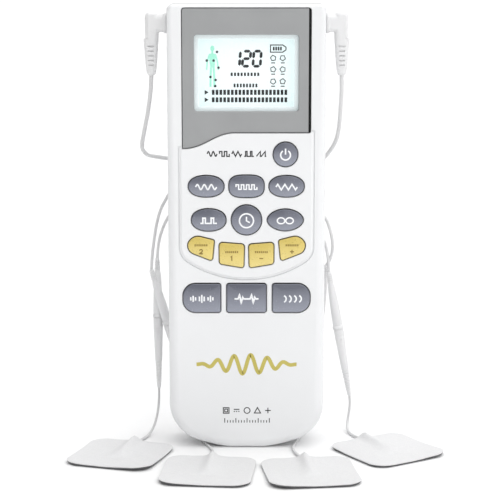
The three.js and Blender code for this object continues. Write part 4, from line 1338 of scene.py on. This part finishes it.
# Each finish: dark and light colour, roughness range, grain, bump (scale, strength, depth), other sockets.
FINISHES = {
    "screw_steel": ((0.62, 0.62, 0.64), (0.74, 0.74, 0.75), (0.25, 0.42), 1500, (2200, 0.1, 0.03),
                    dict(Metallic=1.0)),
    "panel_grey": ((0.605, 0.61, 0.613), (0.625, 0.63, 0.633), (0.3, 0.4), 1600, (3000, 0.07, 0.04),
                   dict(Metallic=0.25)),
    "ink_lcd": ((0.03, 0.03, 0.06), (0.06, 0.06, 0.10), (0.4, 0.5), 900, (1800, 0.04, 0.02), {}),
    "mat_rubber": ((0.68, 0.69, 0.70), (0.73, 0.74, 0.75), (0.6, 0.8), 500, (900, 0.2, 0.05), {}),
    # Painted shade: flat black for the sheet in the gap round the display panel, standing in for the gap's shadow.
    "gap_shade_black": ((0.03, 0.03, 0.03), (0.06, 0.06, 0.06), (0.7, 0.9), 500, (1500, 0.3, 0.05), {}),
    "ferrite": ((0.13, 0.13, 0.14), (0.19, 0.19, 0.2), (0.5, 0.7), 700, (1300, 0.3, 0.06), {}),
    "battery_can": ((0.30, 0.36, 0.42), (0.36, 0.43, 0.49), (0.25, 0.38), 700, (1200, 0.08, 0.03),
                    dict(Metallic=0.6, Coat_Weight=0.4)),
    "contact_nickel": ((0.76, 0.75, 0.72), (0.86, 0.85, 0.82), (0.18, 0.32), 1200, (2000, 0.08, 0.03),
                       dict(Metallic=1.0)),
    "jack_black": ((0.07, 0.07, 0.08), (0.11, 0.11, 0.12), (0.35, 0.5), 700, (1400, 0.12, 0.04), {}),
    "ink_white": ((0.93, 0.94, 0.95), (0.98, 0.98, 0.98), (0.35, 0.45), 1500, (2500, 0.1, 0.02), {}),
    "ink_brown": ((0.50, 0.40, 0.14), (0.56, 0.46, 0.18), (0.4, 0.5), 1500, (2500, 0.1, 0.02), {}),
    "ink_black": ((0.10, 0.10, 0.11), (0.16, 0.16, 0.17), (0.4, 0.5), 1500, (2500, 0.1, 0.02), {}),
    "ink_gold": ((0.74, 0.69, 0.34), (0.79, 0.74, 0.40), (0.35, 0.45), 1500, (2500, 0.1, 0.02),
                 dict(Metallic=0.2)),
    "plug_white": ((0.87, 0.87, 0.875), (0.89, 0.89, 0.89), (0.35, 0.48), 800, (1500, 0.08, 0.05), {}),
    "lead_white": ((0.81, 0.81, 0.815), (0.845, 0.845, 0.845), (0.4, 0.55), 900, (1200, 0.12, 0.05), {}),
    "pad_gel": ((0.30, 0.30, 0.31), (0.37, 0.37, 0.38), (0.3, 0.45), 700, (1000, 0.15, 0.05), {}),
}


def make_materials():
    made = {name: surface(name, srgb(*dark), srgb(*light), roughness, grain, bump, **sockets)
            for name, (dark, light, roughness, grain, bump, sockets) in FINISHES.items()}
    made["case_white"] = surface("case_white", srgb(0.908, 0.911, 0.915), srgb(0.918, 0.921, 0.925),
                                 (0.22, 0.27), 220, (500, 0.012, 0.03), 25.0, Specular_IOR_Level=0.5)
    # Painted glow: the white frame gives off a faint light of its own to brighten it.
    made["lcd_frame"] = surface("lcd_frame", srgb(0.93, 0.965, 0.97), srgb(0.965, 0.985, 0.99), (0.4, 0.5),
                                800, (1600, 0.05, 0.03), Emission_Color=srgb(0.93, 0.98, 0.985),
                                Emission_Strength=0.18)
    # Painted glow: the mint figure gives off a faint light of its own to brighten it.
    made["ink_mint"] = surface("ink_mint", srgb(0.60, 0.93, 0.82), srgb(0.70, 0.96, 0.88), (0.4, 0.5), 900,
                               (1800, 0.04, 0.02), Emission_Color=srgb(0.66, 0.95, 0.85),
                               Emission_Strength=0.15)
    # Painted shade in both key finishes: the first colour is the darker top, the second the lighter foot, and the
    # third the dark sides in the gap's shadow.
    made["key_grey"] = key_material("key_grey", srgb(0.36, 0.37, 0.42), srgb(0.57, 0.585, 0.635),
                                    srgb(0.20, 0.20, 0.22), 0.2, 0.28, Metallic=0.3, Coat_Weight=0.8,
                                    Coat_Roughness=0.06)
    made["key_gold"] = key_material("key_gold", srgb(0.82, 0.73, 0.36), srgb(0.92, 0.84, 0.52),
                                    srgb(0.40, 0.32, 0.12), 0.26, 0.34, Metallic=0.15, Coat_Weight=0.6,
                                    Coat_Roughness=0.08)
    made["window_clear"] = window_material()
    made["display_glass"] = display_glass_material()
    made["board_green"] = board_material()
    made["pad_cloth"] = cloth_material()
    return made


# ---------------------------------------------------------------- the whole unit
KEPT_NODES = {
    "case_screw": "screw_steel", "keypad_mat": "mat_rubber", "circuit_board": "board_green",
    "transformer_left": "ferrite", "transformer_right": "ferrite", "battery_1": "battery_can",
    "battery_2": "battery_can", "battery_3": "battery_can", "contact_plate_lower": "contact_nickel",
    "contact_plate_upper": "contact_nickel", "jack_left": "jack_black", "jack_right": "jack_black",
    "plug_tip_left": "contact_nickel", "plug_tip_right": "contact_nickel",
}


def finish_nodes(materials):
    """The CAD pieces that stay as they are get their own finishes and lightly broken edges."""
    for name, slot in KEPT_NODES.items():
        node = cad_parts[name]
        for holder in node.material_slots:
            holder.material = materials[slot]
        bevel = node.modifiers.new("edges", "BEVEL")
        bevel.width = 0.12 * MM
        bevel.segments = 2
        bevel.limit_method = "ANGLE"
        bevel.angle_limit = math.radians(40)


def make_case(materials):
    dress(front_shell(), "root_case", "case_white", materials["case_white"], "front_shell")
    dress(rear_shell(), "root_case", "case_white", materials["case_white"], "rear_shell")
    dress(battery_door(), "battery_door", "case_white", materials["case_white"], "battery_door")
    dress(display_panel(), "root_case", "panel_grey", materials["panel_grey"], "display_panel")
    dress(display_gap_shade(), "root_case", "mat_rubber", materials["gap_shade_black"])
    dress(display_module(), "root_case", "display_glass", materials["lcd_frame"], "lcd_module")
    dress(display_glass(), "root_case", "display_glass", materials["display_glass"])
    dress(display_window(), "root_case", "window_clear", materials["window_clear"], "lcd_window")
    dress(display_symbols(), "root_case", "display_glass", materials["ink_lcd"])
    dress(display_figure(), "root_case", "display_glass", materials["ink_mint"])
    case_marks(materials)


def make_leads(materials):
    white, lead = materials["plug_white"], materials["lead_white"]
    for side_name, side in (("left", -1), ("right", 1)):
        body = side_name + "_leads"
        plug_piece = dress(plug(side), body, "plug_white", white, f"plug_body_{side_name}")
        yoke_piece = dress(yoke(side_name), body, "plug_white", white, f"yoke_{side_name}")
        cord = dress(CORDS[f"main_{side_name}"], body, "lead_white", lead, f"main_cord_{side_name}")
    for number, parts in LEADS.items():
        body = parts["side"] + "_leads"
        pin = dress(pin_connector(number), body, "plug_white", white, f"pin_connector_{number}")
        socket = dress(lead_socket(number), body, "plug_white", white, f"lead_socket_{number}")
        branch = dress(CORDS[f"branch_{number}"], body, "lead_white", lead, f"branch_cord_{number}")
        pigtail = dress(CORDS[f"pigtail_{number}"], body, "lead_white", lead, f"pigtail_cord_{number}")
        make_pad(number, materials)


# ---------------------------------------------------------------- stage and light
SKY_TOP = 2.0
SKY_TILT = 1.3
SKY_FRONT = 0.5
SKY_WALL = 0.06


def make_stage():
    """A plain pale floor, faintly mottled."""
    bpy.ops.mesh.primitive_plane_add(size=60)
    floor = bpy.context.object
    floor.name = "floor"
    g = Graph("floor_white")
    g.link(g.ramp(g.noise(8), (0.3, (0.86, 0.86, 0.865, 1.0)), (0.7, (0.87, 0.87, 0.87, 1.0))),
           g.shader.inputs["Base Color"])
    g.link(g.spread(g.noise(8), 0.75, 0.85), g.shader.inputs["Roughness"])
    g.shader.inputs["Specular IOR Level"].default_value = 0.1
    floor.data.materials.append(g.material)


def make_sky():
    """A wide white studio: a bright ceiling that is brighter to the right, over dimmer walls, the left and right
    ones dimmest.
    """
    world = bpy.data.worlds.new("studio")
    world.use_nodes = True
    tree = world.node_tree
    place = tree.nodes.new("ShaderNodeTexCoord").outputs["Generated"]
    split = tree.nodes.new("ShaderNodeSeparateXYZ")
    tree.links.new(place, split.inputs["Vector"])

    def combined(operation, a, b):
        made = tree.nodes.new("ShaderNodeMath")
        made.operation = operation
        for socket, value in zip(made.inputs, (a, b)):
            if isinstance(value, float):
                socket.default_value = value
            else:
                tree.links.new(value, socket)
        return made.outputs["Value"]

    height = combined("POWER", combined("MAXIMUM", split.outputs["Z"], 0.0), 2.0)
    tilt = combined("ADD", combined("MULTIPLY", split.outputs["X"], SKY_TILT), SKY_TOP)
    front = combined("MULTIPLY", combined("ABSOLUTE", split.outputs["Y"], 0.0), SKY_FRONT)
    total = combined("ADD", combined("MULTIPLY", height, tilt), combined("ADD", front, SKY_WALL))
    tree.links.new(total, tree.nodes["Background"].inputs["Strength"])
    tree.nodes["Background"].inputs["Color"].default_value = (1.0, 1.0, 1.0, 1.0)
    scene.world = world


def area_light(name, place, target, size, watts):
    light = bpy.data.lights.new(name, "AREA")
    light.shape = "RECTANGLE"
    light.size, light.size_y = size
    light.energy = watts
    lamp = bpy.data.objects.new(name, light)
    lamp.location = place
    lamp.rotation_euler = (Vector(target) - Vector(place)).to_track_quat("-Z", "Y").to_euler()
    scene.collection.objects.link(lamp)


MATERIALS = make_materials()
finish_nodes(MATERIALS)
make_case(MATERIALS)
make_keys(MATERIALS)
make_leads(MATERIALS)
make_stage()
make_sky()
area_light("front_softbox", (0.35, -0.9, 0.5), (0, 0, 0.09), (0.8, 0.8), 0.9)
area_light("right_strip", (0.5, -0.25, 0.3), (0, 0, 0.1), (0.03, 0.5), 0.3)
scene.view_settings.view_transform = "Standard"
